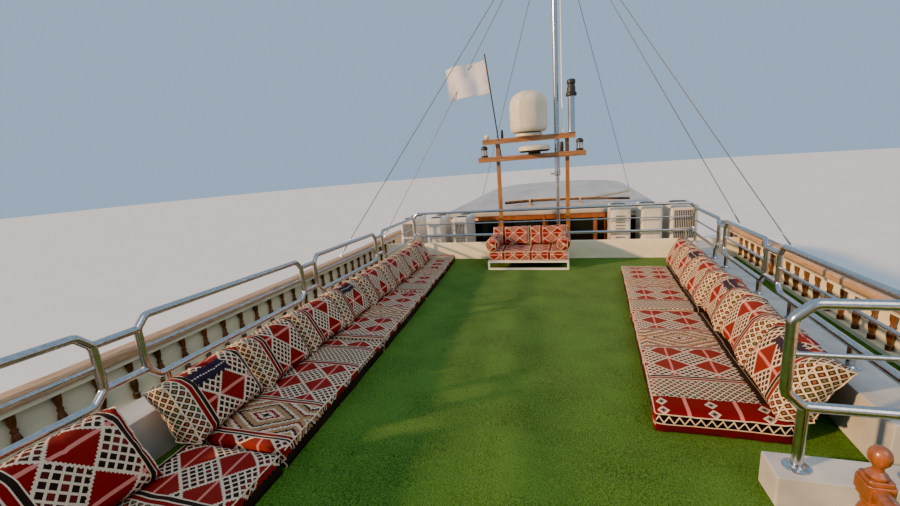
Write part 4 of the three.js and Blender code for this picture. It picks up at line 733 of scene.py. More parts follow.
def make_finishes(hues):
    """All finishes of the boat, from the user's colours where there is one."""
    # Satin oil paint on boards: brush marks, slight yellowing and dirt in patches of 0.3 m
    coated("Satin oil paint on boards", hues.paint, 0.45, (0.35, 0.35, 0.2),
           (darker(hues.paint, 0.8), hues.paint), relief=0.0004, gloss=(0.52, 0.38))
    # The same paint on the low coamings has gone grey with foot traffic
    coated("Worn deck paint", "b9bab6", 0.5, (0.25, 0.25, 0.2), ("a5a6a2", "c9c9c4"), relief=0.0006,
           gloss=(0.62, 0.42))
    # White resin gel coat on the roofs: nearly even, with fine orange peel and rain marks
    coated("White gel coat", "bab3a6", 0.32, (1.4, 0.5, 0.5), ("a69f92", "c4bdb0"), Coat_Weight=0.2,
           relief=0.0003, gloss=(0.42, 0.26))
    # Polished stainless tube: bright, with faint drawing marks along it
    coated("Polished stainless steel", "c0c0bf", 0.18, (0.02, 0.02, 0.02), ("b0b0b0", "cecece"), metallic=1.0,
           gloss=(0.26, 0.14))
    # Galvanised wire rope: dull grey with laid strands of 4 mm
    coated("Galvanised wire rope", "6f7275", 0.5, (0.01, 0.01, 0.004), ("4b4e50", "8a8d90"), metallic=0.8,
           relief=0.0008)
    # Varnished teak: warm orange brown with a clear gloss over the grain
    timber("Varnished teak", darker(hues.varnish, 0.38), hues.varnish, 0.32, grain=(0.03, 0.03, 0.35),
           coat=0.6, weather=0.08)
    # The goalpost frame has yellowed in the sun
    golden = (hues.varnish[0], hues.varnish[1] * 1.6, hues.varnish[2] * 1.3, 1.0)
    for name, grain in (("Sunned teak crosswise", (0.03, 0.4, 0.03)),
                        ("Sunned teak upright", (0.03, 0.03, 0.35))):
        timber(name, darker(golden, 0.42), golden, 0.36, grain=grain, coat=0.5, weather=0.12)
    # A darker copy of the varnished teak for the balusters: painted shade
    timber("Varnished teak with painted shade", "371b0f", "6e3f22", 0.34, grain=(0.03, 0.03, 0.2), coat=0.4, weather=0.05)
    # Oiled teak rail cap: pale tan where the sun has bleached it
    timber("Oiled teak cap", "8f6a47", "c49c73", 0.55, grain=(0.6, 0.012, 0.012), weather=0.35)
    # Laid deck: boards of 90 mm along the boat with black caulked seams
    tree, shader, coords = timber("Laid teak deck", "8a6b4b", "b89872", 0.65, grain=(0.5, 0.01, 0.01))
    seams(tree, shader, coords, 1, 0.09, 0.006)
    # Oiled hull planking: dark reddish brown, strakes are modelled, with runs and bleached patches
    tree, shader, coords = timber("Oiled hull planking", darker(hues.hull_oil, 0.32), hues.hull_oil, 0.42,
                                  grain=(0.9, 0.05, 0.03), weather=0.18)
    # Below the waterline it is under chalky oxide red antifouling, with a white line at the top
    height = put(tree, "ShaderNodeSeparateXYZ", {0: coords}).outputs[2]
    paint = put(tree, "ShaderNodeValToRGB",
                {"Fac": put(tree, "ShaderNodeTexNoise", {"Vector": coords, "Scale": 2.0})},
                [(0.3, "552018"), (0.7, "7d3526")])
    for hue, level in (("d9d4c8", 0.16), (paint, 0.09)):
        under = put(tree, "ShaderNodeMath", {0: height, 1: level}, operation="LESS_THAN")
        put(tree, "ShaderNodeMixRGB", {"Fac": under, "Color1": fed(shader, "Base Color"),
                                       "Color2": linear(hue) if isinstance(hue, str) else hue},
            into=shader.inputs["Base Color"])
    # Short synthetic turf: rows of 8 mm tufts, darker between them, with trodden patches
    make_turf(hues.turf)
    # Powder-coated steel tube of the bench: even white gloss with slight orange peel
    coated("White powder coat", "e4e2dc", 0.3, (0.012, 0.012, 0.012), ("dedcd6", "e8e6e0"), Coat_Weight=0.3,
           relief=0.0002)
    # Moulded glass fibre of the dome: creamy, sun-aged, fine texture
    coated("Aged glass fibre", "cfc8b4", 0.5, (0.3, 0.3, 0.5), ("bdb59f", "d8d2c1"), relief=0.0004,
           gloss=(0.58, 0.42))
    # Enamelled steel casing of the cooling units: off-white, streaked
    coated("Enamelled casing", "d8d7d0", 0.4, (0.12, 0.12, 0.6), ("c6c4ba", "e0dfd9"), relief=0.0003,
           gloss=(0.48, 0.34))
    # Black moulded plastic and rubber: soft sheen with a fine grain
    coated("Black moulded plastic", "1b1b1c", 0.5, (0.004, 0.004, 0.004), ("131314", "262628"), relief=0.0002)
    # Tinted glass: smooth and dark, reflects the sky
    coated("Tinted glass", "10191b", 0.06, (0.9, 0.9, 0.5), ("0b1214", "1a2628"), IOR=1.5, Coat_Weight=0.4,
           gloss=(0.05, 0.1))
    # Knitted polyester of the flag: thin, light shows through it
    coated("Flag polyester", "dcdbe0", 0.8, (0.15, 0.15, 0.2), ("cfced6", "e6e5e9"), Sheen_Weight=0.2,
           Transmission_Weight=0.15, relief=0.0003)
    # Cast bronze: yellow brown, rubbed bright on its faces
    coated("Cast bronze", "8f6b2e", 0.35, (0.04, 0.04, 0.04), ("7a5a26", "a98442"), metallic=1.0,
           relief=0.0005, gloss=(0.42, 0.28))
    # Peeled pole: pale bleached wood, smooth, with long checks
    timber("Peeled pole", "a9895f", "d8c19a", 0.6, grain=(0.05, 0.25, 0.02), weather=0.3)
    # Rough pole: bark left on, dark brown and knotty
    coated("Rough pole", "4a3426", 0.85, (0.03, 0.09, 0.03), ("2c1d14", "6b4d36"), relief=0.004)
    # Iron nails in the planking: punched, rusty brown
    coated("Iron nails", "3b2a22", 0.6, (0.02, 0.02, 0.02), ("271a14", "55382a"), metallic=0.5)
    # Engine paint over iron: sage green, oily
    coated("Engine enamel", "3f4a44", 0.4, (0.08, 0.08, 0.08), ("333c37", "4c5851"), relief=0.001,
           gloss=(0.5, 0.25))
    # Cream cotton cord along the seams: twisted, with a 3 mm lay
    coated("Cotton piping", "d9c7a8", 0.9, (0.012, 0.012, 0.012), ("b9a27d", "eadcc2"), Sheen_Weight=0.2,
           relief=0.0006)
    # Woven wool covers of the seats
    redder = (hues.wool[0] * 1.1, hues.wool[1] + 0.004, hues.wool[2] + 0.003, 1.0)
    woven("Woven wool, mattress", REPEAT, MATTRESS_BANDS, (0.26, 0.29), (0.43, 1.6, "0d0b0d"), redder,
          foot=-0.255)
    woven("Woven wool, cushion", 0.74, CUSHION_BANDS, (0.27, 0.24), (0.33, 0.44, "14122c"), hues.wool,
          (0.42, 0.2))
    woven("Woven wool, bench", 0.82, BENCH_BANDS, (0.23, 0.2), (9.0, 9.1, "1a1630"), redder,
          squares=(0.75, 0.05))
    woven("Woven wool, lattice", 0.74, LATTICE_BANDS, (0.27, 0.24), (9.0, 9.1, "1a1630"), hues.wool)
    end_band(END_START, darker(hues.wool, 0.75))


def make_turf(green):
    """Green synthetic turf with tuft rows, blade noise and worn patches."""
    tree, shader, coords = finish("Synthetic turf", green, 0.95, Sheen_Weight=0.05, Sheen_Roughness=0.5,
                                  Specular_IOR_Level=0.12)
    ramp = mottled(tree, shader, coords, (0.012, 0.009, 0.012), (darker(green, 0.25), green),
                   contrast=(0.36, 0.62), detail=6.0)
    patches = put(tree, "ShaderNodeTexNoise", {"Vector": coords, "Scale": 2.2, "Detail": 4.0})
    level = put(tree, "ShaderNodeMapRange",
                {"Value": patches.outputs["Fac"], "From Min": 0.35, "From Max": 0.7,
                                             "To Min": 0.0, "To Max": 0.45})
    trodden = put(tree, "ShaderNodeMixRGB", {"Fac": level.outputs["Result"], "Color1": ramp.outputs["Color"],
                                             "Color2": darker(green, 1.25)})
    tree.links.new(trodden.outputs["Color"], shader.inputs["Base Color"])
    tufts = put(tree, "ShaderNodeTexVoronoi", {"Vector": coords, "Scale": 110.0, "Randomness": 0.8})
    pile = put(tree, "ShaderNodeBump", {"Height": tufts.outputs["Distance"], "Distance": 0.006,
                                        "Strength": 0.8})
    rows = put(tree, "ShaderNodeTexWave", {"Vector": coords, "Scale": 26.0, "Distortion": 0.6, "Detail": 2.0})
    put(tree, "ShaderNodeBump", {"Height": rows.outputs["Fac"], "Distance": 0.003, "Strength": 0.6,
                                 "Normal": pile}, into=shader.inputs["Normal"])


# Padded pieces
def stuffed(size, cell, swell, seed):
    """A sewn box of cloth blown up by cloth simulation: rest points, final points, faces and their sides."""
    counts = [max(3, round(s / cell)) for s in size]
    index, rest, faces, sides = {}, [], [], []

    def at(i, j, k):
        key = (i, j, k)
        if key not in index:
            index[key] = len(rest)
            rest.append([(c / n - 0.5) * s for c, n, s in zip(key, counts, size)])
        return index[key]

    for axis in range(3):
        a, b = [i for i in range(3) if i != axis]
        for end in (0, counts[axis]):
            for i in range(counts[a]):
                for j in range(counts[b]):
                    loop = []
                    for di, dj in ((0, 0), (1, 0), (1, 1), (0, 1)):
                        key = [0, 0, 0]
                        key[axis], key[a], key[b] = end, i + di, j + dj
                        loop.append(at(*key))
                    outward = (end > 0) != (axis == 1)
                    faces.append(tuple(loop if outward else reversed(loop)))
                    sides.append((axis, end > 0))
    rest = np.array(rest)
    mesh = bpy.data.meshes.new("cloth")
    mesh.from_pydata(rest.tolist(), [], faces)
    move = blown(mesh, rest)
    length = np.linalg.norm(move, axis=1, keepdims=True)
    move *= np.minimum(1, swell / np.maximum(length, 1e-9))
    # Gathers run in from the seams and die out over 60 mm
    draw = random.Random(seed)
    half = np.array(size) / 2
    near = np.sort(half - np.abs(rest), axis=1)
    fold = np.array([noise.noise(Vector(p) * 26 + Vector((draw.random() if not i else 0, 0, seed * 9.1)))
                     for i, p in enumerate(rest)])
    dent = np.array([noise.noise(Vector(p) * 7 + Vector((seed * 5.3, 0, 0))) for p in rest])
    away = rest / np.linalg.norm(rest, axis=1, keepdims=True)
    depth = 0.0075 * fold * np.exp(-near[:, 1] / 0.05) + 0.008 * dent
    bpy.data.meshes.remove(mesh)
    return rest, rest + move + away * depth[:, None], faces, sides


def blown(mesh, rest):
    """Runs the cloth for 20 frames with air pressure and no gravity, and returns how far each point moved."""
    scene = bpy.context.scene
    cloth = show("cloth", mesh)
    modifier = cloth.modifiers.new("Cloth", "CLOTH")
    made = modifier.settings
    made.quality = 4
    made.mass = 0.3
    made.tension_stiffness = made.compression_stiffness = 12
    made.shear_stiffness = 6
    made.bending_stiffness = 0.6
    made.use_pressure = True
    made.uniform_pressure_force = 4.0
    made.effector_weights.gravity = 0.0
    modifier.point_cache.frame_start, modifier.point_cache.frame_end = 1, 20
    for number in range(1, 21):
        scene.frame_set(number)
    seen = cloth.evaluated_get(bpy.context.evaluated_depsgraph_get())
    final = np.zeros(len(rest) * 3)
    seen.data.vertices.foreach_get("co", final)
    bpy.data.objects.remove(cloth)
    scene.frame_set(1)
    return final.reshape(-1, 3) - rest


def seam_loops(rest, size, axis):
    """Point numbers round each of the two ends of a stuffed box, in order."""
    half = [s / 2 for s in size]
    a, b = [i for i in range(3) if i != axis]
    loops = []
    for end in (-1, 1):
        ring = [i for i, p in enumerate(rest) if abs(p[axis] - end * half[axis]) < 1e-6
                and (abs(abs(p[a]) - half[a]) < 1e-6 or abs(abs(p[b]) - half[b]) < 1e-6)]
        ring.sort(key=lambda i: math.atan2(rest[i][b] / half[b], rest[i][a] / half[a]))
        loops.append(ring)
    return loops


def cushion_uv(rest, size, faces, sides, shift):
    """Cloth coordinates of a back cushion: v climbs the front, crosses the top and goes down the back."""
    length, thick, high = size
    pairs = []
    for loop, (axis, upper) in zip(faces, sides):
        corner = []
        for i in loop:
            x, y, z = rest[i]
            if axis == 0:
                corner.append((y + thick / 2 + 0.01, z + high / 2 + shift))
            elif axis == 2:
                v = high + (y + thick / 2) if upper else -(y + thick / 2)
                corner.append((x + length / 2, v + shift))
            else:
                v = high + thick + (high / 2 - z) if upper else z + high / 2
                corner.append((x + length / 2, v + shift))
        pairs.append(corner)
    return pairs


def placed(points, origin, turn, lean=0.0, size=(1, 1, 1)):
    """Points sized, leaned about X, turned about Z and moved to a place."""
    pose = Matrix.Translation(origin) @ Matrix.Rotation(turn, 4, "Z") @ Matrix.Rotation(lean, 4, "X")
    pose = pose @ Matrix.Diagonal((*size, 1))
    moved = np.asarray(points) @ np.array(pose.to_3x3()).T + np.array(origin)
    return moved


# the two ends of each back cushion along the boat
PORT_CUSHIONS = ((-8.33, -7.62), (-7.42, -6.71), (-6.69, -6.02), (-6.00, -5.30), (-5.28, -4.58),
                 (-4.56, -3.87), (-3.85, -3.16), (-3.14, -2.43), (-2.41, -1.72))
STARBOARD_CUSHIONS = tuple((-6.5 + 0.748 * i, -5.765 + 0.748 * i) for i in range(6))
CUSHION = (0.655, 0.165, 0.36)
MATTRESS_TOP = 0.1465


# How far up its front each cushion's pattern starts; the dark block shows on those near zero
SHIFTS = {"port": (0.64, 0.06, 0.66, 0.63, 0.05, 0.6, 0.64, 0.62, 0.61),
          "starboard": (0.05, 0.63, 0.02, 0.6, 0.04, 0.64)}


class DHOW_OT_back_cushions(bpy.types.Operator):
    """Wedge-shaped back cushions, leaning outwards along both rails"""

    bl_idname = "dhow.back_cushions"
    bl_label = "Back cushions"

    def execute(self, context):
        masters = [stuffed(CUSHION, 0.021, 0.03, seed) for seed in (1, 2, 3)]
        covers = looks("Woven wool, cushion", "Woven wool, lattice", "Cotton piping")
        draw = random.Random(11)
        for side, rows, prefix in ((1, PORT_CUSHIONS, "port"), (-1, STARBOARD_CUSHIONS, "starboard")):
            for number, (aft, fore) in enumerate(rows):
                rest, final, faces, sides = masters[draw.randrange(3)]
                middle = (aft + fore) / 2
                shift = SHIFTS[prefix][number]
                draft = Draft()
                lean = -side * draw.uniform(-0.03, 0.04)
                slope = math.atan2(rail_half(fore) - rail_half(aft), fore - aft)
                fall = math.atan2(deck(fore) - deck(aft), fore - aft)
                flip = 1 if side > 0 else -1
                points = final * np.array((1, flip, 1))
                # It stands flat on the mattress and leans out, its top falling outwards and slumped a little
                height = points[:, 2] / CUSHION[2] + 0.5
                outward = points[:, 1] * flip / CUSHION[1]
                points[:, 1] *= 1.1 - 0.12 * height
                push = 0.17 * (height - 0.5) - 0.022 * np.sin(height * math.pi) * draw.uniform(0.2, 1)
                points[:, 1] += flip * push
                points[:, 2] -= 0.05 * outward * np.clip(height, 0, 1)
                points[:, 2] += fall * points[:, 0]
                # The row to starboard comes a little inboard going forward
                inboard = 0.315 if side > 0 else 0.335 + 0.011 * number
                y = side * (rail_half(middle) - inboard + draw.uniform(-0.01, 0.01))
                z = deck(middle) + MATTRESS_TOP + CUSHION[2] / 2 + 0.008
                turn = side * slope + draw.uniform(-0.05, 0.05)
                size = ((fore - aft) / (CUSHION[0] + 0.05), 1.0, 1 + draw.uniform(-0.02, 0.03))
                if prefix == "port" and number == 0:
                    size, z = (size[0], 1.0, 1.07), z + 0.012
                points = placed(points, (middle, y, z), turn, lean, size)
                floor = np.array([deck(x) + MATTRESS_TOP + 0.001 for x in points[:, 0]])
                points[:, 2] = np.maximum(points[:, 2], floor)
                loops = [f if flip > 0 else tuple(reversed(f)) for f in faces]
                pairs = cushion_uv(rest, CUSHION, faces, sides, shift)
                if flip < 0:
                    pairs = [list(reversed(p)) for p in pairs]
                inks = [1 if axis == 0 else 0 for axis, _ in sides]
                draft.add(points, loops, inks, pairs)
                for ring in seam_loops(rest, CUSHION, 0):
                    draft.tube([points[i] for i in ring], 0.0045, 6, closed=True, ink=2)
                nodes = {"port": {0: ["port_aft_cushion"], 1: ["port_back_cushions"]},
                         "starboard": {0: ["starboard_back_cushions"]}}[prefix].get(number, [])
                piece = draft.piece(f"{prefix}_back_cushion_{number + 1}", covers, "woven_fabric", *nodes,
                                    crease=80, turn_out=False)
        return {"FINISHED"}


class DHOW_OT_mattresses(bpy.types.Operator):
    """Floor mattresses end to end along both sides of the aisle"""

    bl_idname = "dhow.mattresses"
    bl_label = "Mattresses"

    def execute(self, context):
        size = (1.7, 0.70, 0.122)
        half, corner_radius = size[2] / 2, 0.06
        masters = [stuffed(size, 0.03, 0.015, seed) for seed in (4, 5)]
        covers = looks("Woven wool, mattress", "Cotton piping", "Woven wool, end band")
        # columns: row, side, width, ends, where each cloth's pattern starts
        rows = (("port", 1, 0.72, (-9.1, -7.30, -5.56, -3.78, -2.32, -1.2), (0.823, 0.653, 0.12, 1.75, 1.2)),
                ("starboard", -1, 0.8, (-6.5, -4.34, -2.18), (END_START, 1.82)))
        for prefix, side, wide, ends, shifts in rows:
            for number, (aft, fore) in enumerate(zip(ends, ends[1:])):
                rest, final, faces, sides = masters[number % 2]
                length, middle = fore - aft, (aft + fore) / 2
                draft = Draft()
                points = final.copy()
                stretch, spread = (length - 0.026) / size[0], (wide - 0.03) / size[1]
                free = (number == 0, number == len(ends) - 2)
                out = []
                for x, y, z in points:
                    x, y = x * stretch, y * spread
                    # Rounded corners: what lies past a corner's start is drawn in to its arc
                    past = np.maximum(0, (abs(x) - (length / 2 - corner_radius),
                                          abs(y) - (wide / 2 - corner_radius)))
                    if free[int(x > 0)] and min(past) > 0:
                        pull = 1 - max(past) / math.hypot(*past)
                        x, y = x - math.copysign(past[0] * pull, x), y - math.copysign(past[1] * pull, y)
                    along = middle + x
                    lift = min(MATTRESS_TOP - 0.0005, GAP + max(0.0, z + half + 0.004))
                    out.append((along, side * (mattress_edge(along, side) + wide / 2 + y),
                                deck(along) + lift))
                u0 = shifts[number]
                pairs, inks = [], []
                for loop, (axis, upper) in zip(faces, sides):
                    corner = []
                    for i in loop:
                        x, y, z = rest[i]
                        u, v = (x + size[0] / 2) * stretch + u0, y * spread + wide / 2 - 0.2175
                        if axis == 1:
                            v = (wide - 0.2175 + half - z) if upper else -0.2175 - (half - z)
                        if axis == 0:
                            u = u0 - (half - z) if not upper else u0 + length + (half - z)
                        corner.append((u, v))
                    pairs.append(corner if side > 0 else list(reversed(corner)))
                    inks.append(2 if max(u for u, _ in corner) < END_START + END_LENGTH + 0.001 else 0)
                loops = [f if side > 0 else tuple(reversed(f)) for f in faces]
                draft.add(out, loops, inks, pairs)
                # Piping along the top seam: both long edges, and the short one where the row ends
                top = [i for i in range(len(rest)) if rest[i][2] > half - 1e-6]
                for axis, end, shown in ((1, -1, True), (1, 1, True), (0, -1, free[0]), (0, 1, free[1])):
                    line = [i for i in top if abs(rest[i][axis] - end * size[axis] / 2) < 1e-6]
                    if shown:
                        line.sort(key=lambda i: rest[i][1 - axis])
                        draft.tube([out[i] for i in line], 0.004, 5, ink=1)
                nodes = [prefix + "_mattresses"] if number == 0 else []
                piece = draft.piece(f"{prefix}_mattress_{number + 1}", covers, "woven_fabric", *nodes,
                                    crease=80, turn_out=False)
        return {"FINISHED"}


class DHOW_OT_stage(bpy.types.Operator):
    """Pale floor at the waterline with a hole for the hull, soft light and the camera on the upper deck"""

    bl_idname = "dhow.stage"
    bl_label = "Stage"

    def execute(self, context):
        scene = context.scene
        tree, shader, coords = finish("Plain pale floor", "d9dcdd", 0.8)
        mottled(tree, shader, coords, (3.0, 3.0, 3.0), ("d5d8da", "dddfe0"))
        xs = [x / 4 for x in range(-50, 49)]
        side = [hull_point(x, girth_at(x, 0.0), 1, 0.06) for x in xs if station(x)[1] < -0.1]
        inner = [(x, y, 0.0) for x, y, _ in side] + [(x, -y, 0.0) for x, y, _ in reversed(side)]
        outer = [(150 * math.cos(a), 150 * math.sin(a), 0.0) for a in (math.atan2(y, x) for x, y, _ in inner)]
        middle = [(18 * math.cos(a), 18 * math.sin(a), 0.0) for a in (math.atan2(y, x) for x, y, _ in inner)]
        draft = Draft()
        draft.grid([inner, middle, outer], around=True)
        mesh = bpy.data.meshes.new("floor")
        mesh.from_pydata(draft.verts, [], draft.faces)
        mesh.materials.append(FINISHES["Plain pale floor"])
        show("floor", mesh)
        world = bpy.data.worlds.new("Soft sky")
        world.use_nodes = True
        world.node_tree.nodes["Background"].inputs["Color"].default_value = linear("a8c4de")
        world.node_tree.nodes["Background"].inputs["Strength"].default_value = 0.92
        scene.world = world
        # Deep tones and full colours, as a phone camera gives them late in the day
        scene.view_settings.look = "AgX - Punchy"
        scene.view_settings.exposure = 0.75
        # Low warm light from the port quarter, as late in the day, and a weak wide light from the other side
        for name, way, power, hue, spread in (
            ("evening_light", (0.50, -0.80, -0.34), 6.0, "ffca90", 2.5),
            ("fill_light", (0.6, 0.5, -0.8), 0.9, "ffeedd", 40.0),
        ):
            lamp = bpy.data.lights.new(name, "SUN")
            lamp.energy = power
            lamp.color = linear(hue)[:3]
            lamp.angle = math.radians(spread)
            light = show(name, lamp)
            light.rotation_mode = "QUATERNION"
            light.rotation_quaternion = Vector(way).to_track_quat("-Z", "Y")
        # The camera stands on the upper deck and looks forward, down and a little to port
        yaw, pitch, roll = 0.2971, 0.2208, 0.0790
        ahead = Vector((math.cos(pitch) * math.cos(yaw), math.cos(pitch) * math.sin(yaw), -math.sin(pitch)))
        level = Vector((math.sin(yaw), -math.cos(yaw), 0))
        down = ahead.cross(level)
        right = math.cos(roll) * level + math.sin(roll) * down
        up = math.sin(roll) * level - math.cos(roll) * down
        lens = bpy.data.cameras.new("camera")
        lens.lens = 16.32
        lens.sensor_width = 36.0
        lens.clip_start, lens.clip_end = 0.05, 400.0
        camera = show("camera", lens)
        axes = Matrix((right, up, -ahead)).transposed()
        camera.matrix_world = Matrix.Translation((-9.0, -0.5485, 5.55)) @ axes.to_4x4()
        scene.camera = camera
        return {"FINISHED"}


class DHOW_OT_upper_deck(bpy.types.Operator):
    """Turf, deck edge and pillars"""

    bl_idname = "dhow.upper_deck"
    bl_label = "Upper deck"

    def execute(self, context):
        dress(FINISHES["Synthetic turf"], "turf")
        dress(FINISHES["Oiled teak cap"], "upper_deck", bevel=0.006)
        return {"FINISHED"}


class DHOW_OT_balustrade(bpy.types.Operator):
    """Side boards with turned balusters in front of them, under a timber cap"""

    bl_idname = "dhow.balustrade"
    bl_label = "Balustrade"

    def execute(self, context):
        pitch = context.scene.dhow_sizes.baluster_pitch
        board, cap = Draft(), Draft()
        for side in (-1, 1):
            def strip(draft, outs, lows, start=-12.4697):
                xs = [start, *DECK_FRAMES[1:-1], -0.02]
                rows = [[(x, side * (edge_half(x) + o), deck(x) + z) for o, z in zip(outs, lows)] for x in xs]
                draft.grid(rows, around=True, ends=True)

            strip(board, (-0.022, -0.002, -0.002, -0.022), (-TURF + GAP, -TURF + GAP, 0.41, 0.41))
            strip(board, (-0.078, -0.0221, -0.0221, -0.078), (GAP, GAP, 0.05, 0.05))
            strip(board, (-0.078, -0.0221, -0.0221, -0.078), (0.372, 0.372, 0.41, 0.41))
            strip(cap, (-0.105, -0.108, -0.09, 0.03, 0.044, 0.042), (0.418, 0.482, 0.5, 0.5, 0.482, 0.418),
                  DECK_AFT)
        half, high = edge_half(DECK_AFT), deck(DECK_AFT)
        board.box((DECK_AFT, -half, high - TURF), (-12.47, half, high + 0.41))
        inner = half - 0.1083
        cap.box((DECK_AFT, -inner, high + 0.418), (-12.365, inner, high + 0.498))
        board.piece("side_boards", looks("Satin oil paint on boards"), "white_paint", "balustrade",
                    bevel=0.003)
        cap.piece("cap_rail", looks("Oiled teak cap"), "varnished_timber", bevel=0.006)
        shape = Draft()
        shape.turned([(0.0, 0.0), (0.026, 0.0), (0.026, 0.045), (0.017, 0.055), (0.021, 0.07), (0.031, 0.12),
                      (0.029, 0.15), (0.016, 0.195), (0.022, 0.2), (0.022, 0.21), (0.015, 0.225),
                      (0.024, 0.262), (0.026, 0.28), (0.026, 0.318), (0.0, 0.318)], sides=10)
        mesh = bpy.data.meshes.new("baluster")
        mesh.from_pydata(shape.verts, [], shape.faces)
        places = []
        for side in (-1, 1):
            count = int((12.3 - 0.2) / pitch)
            for i in range(count):
                x = -12.3 + i * pitch
                places.append(((x, side * (edge_half(x) - 0.05), deck(x) + 0.052), (0, 0, 0)))
        # The balusters take the darker copy of the teak, which paints the shade they stand in
        scattered("balusters", show("baluster", mesh), places, FINISHES["Varnished teak with painted shade"],
                  "varnished_timber", jitter=6.28)
        return {"FINISHED"}


# heights over the deck: top tube, middle bar, low tube; then the forward rail's and the stair head's
SIDE_HEIGHTS, FORWARD_HEIGHTS, STAIR_HEIGHTS = (0.907, 0.7, 0.478), (0.97, 0.735, 0.495), (0.84, 0.595, 0.328)
# columns: piece, node, side, then the ends and the legs of each panel
SIDE_RAILS = (
    ("port_rail_tubes", "port_rail", 1,
     ((-12.0, -9.73, -11.87, -9.86), (-9.45, -7.5, -9.32, -7.63), (-7.22, -5.3, -7.09, -5.43),
      (-5.02, -3.18, -4.89, -3.31), (-2.9, RAIL_FORE, -2.77, -1.28))),
    ("starboard_rail_tubes", "starboard_rail", -1,
     ((-6.6, -4.74, -6.02, -5.07), (-4.41, -2.95, -4.28, -3.08), (-2.64, RAIL_FORE, -2.51, -1.28))),
)


def rail_loop(place, start, end, heights, cut=0.075):
    """Corner points of one rail panel, its corners cut at 45 degrees."""
    top, _, low = heights
    run = math.copysign(cut, end - start)
    ring = ((start + run, top), (end - run, top), (end, top - cut), (end, low + cut),
            (end - run, low), (start + run, low), (start, low + cut), (start, top - cut))
    return [place(*p) for p in ring]


class DHOW_OT_rails(bpy.types.Operator):
    """Stainless rails: closed loops of tube on legs with round flanges"""

    bl_idname = "dhow.rails"
    bl_label = "Rails"

    def execute(self, context):
        steel = FINISHES["Polished stainless steel"]
        radius = context.scene.dhow_sizes.rail_diameter / 2
        flanges = Draft()
        forward_x = BULWARK_X + 0.0325
        runs = [(name, node, panels, lambda x, h, s=side: Vector((x, s * rail_half(x), deck(x) + h)),
                 SIDE_HEIGHTS, 0.32) for name, node, side, panels in SIDE_RAILS]
        runs.append(("forward_rail_tubes", "forward_rail", ((-2.62, 2.62, -2.475, 2.475),),
                     lambda y, h: Vector((forward_x, y, deck(BULWARK_X) + h)), FORWARD_HEIGHTS, 0.34))
        runs.append(("stair_rail_tubes", "stair_rail", ((-2.11, -1.505, -2.04, -1.585),),
                     lambda y, h: Vector((-6.921, y, STAIR_TOP + h)), STAIR_HEIGHTS, 0.0))
        for name, node, panels, place, seat in [(r[0], r[1], r[2], r[3], (r[4], r[5])) for r in runs]:
            heights, foot_height = seat
            loops, thin, legs = [], [], []
            for i, (start, end, first_leg, last_leg) in enumerate(panels):
                loops.append((rail_loop(place, start, end, heights), True))
                thin.append(([place(start, heights[1]), place(end, heights[1])], False))
                for at in (first_leg, last_leg):
                    foot = place(at, foot_height)
                    foot.z = max(place(at - 0.058, foot_height).z, place(at + 0.058, foot_height).z)
                    legs.append(([foot + Vector((0, 0, 0.004)), place(at, heights[2])], False))
                    flanges.turned([(0.0, SKIN), (0.056, SKIN), (0.058, 0.002), (0.057, 0.005),
                                    (0.047, 0.008), (0.034, 0.009), (0.029, 0.016), (0.0, 0.016)], foot, 24)
                    for turn in range(4):
                        screw = foot + Vector((0.041 * math.cos(turn * 1.571 + 0.5),
                                               0.041 * math.sin(turn * 1.571 + 0.5), 0))
                        flanges.turned([(0.0, 0.007), (0.007, 0.007), (0.006, 0.011), (0.0, 0.0125)],
                                       screw, 8)
                if i:
                    for h in (0.832, 0.553):
                        legs.append(([place(panels[i - 1][1], h), place(start, h)], False))
            if node == "forward_rail":
                for side in (-1, 1):
                    for h, other in ((0.605, 0.58), (0.86, 0.815)):
                        legs.append(([place(side * 2.62, h), Vector((RAIL_FORE, side * rail_half(RAIL_FORE),
                                                                     deck(RAIL_FORE) + other))],
                                     False))
            bars(name, loops, radius, steel, "stainless_steel", node, bend=0.05, sides=14)
            bars(name.replace("tubes", "legs"), legs, radius * 0.98, steel, "stainless_steel", sides=14)
            bars(name.replace("tubes", "middle_bar"), thin, radius * 0.5, steel, "stainless_steel", sides=10)
        flanges.piece("rail_flanges", [steel], "stainless_steel")
        return {"FINISHED"}


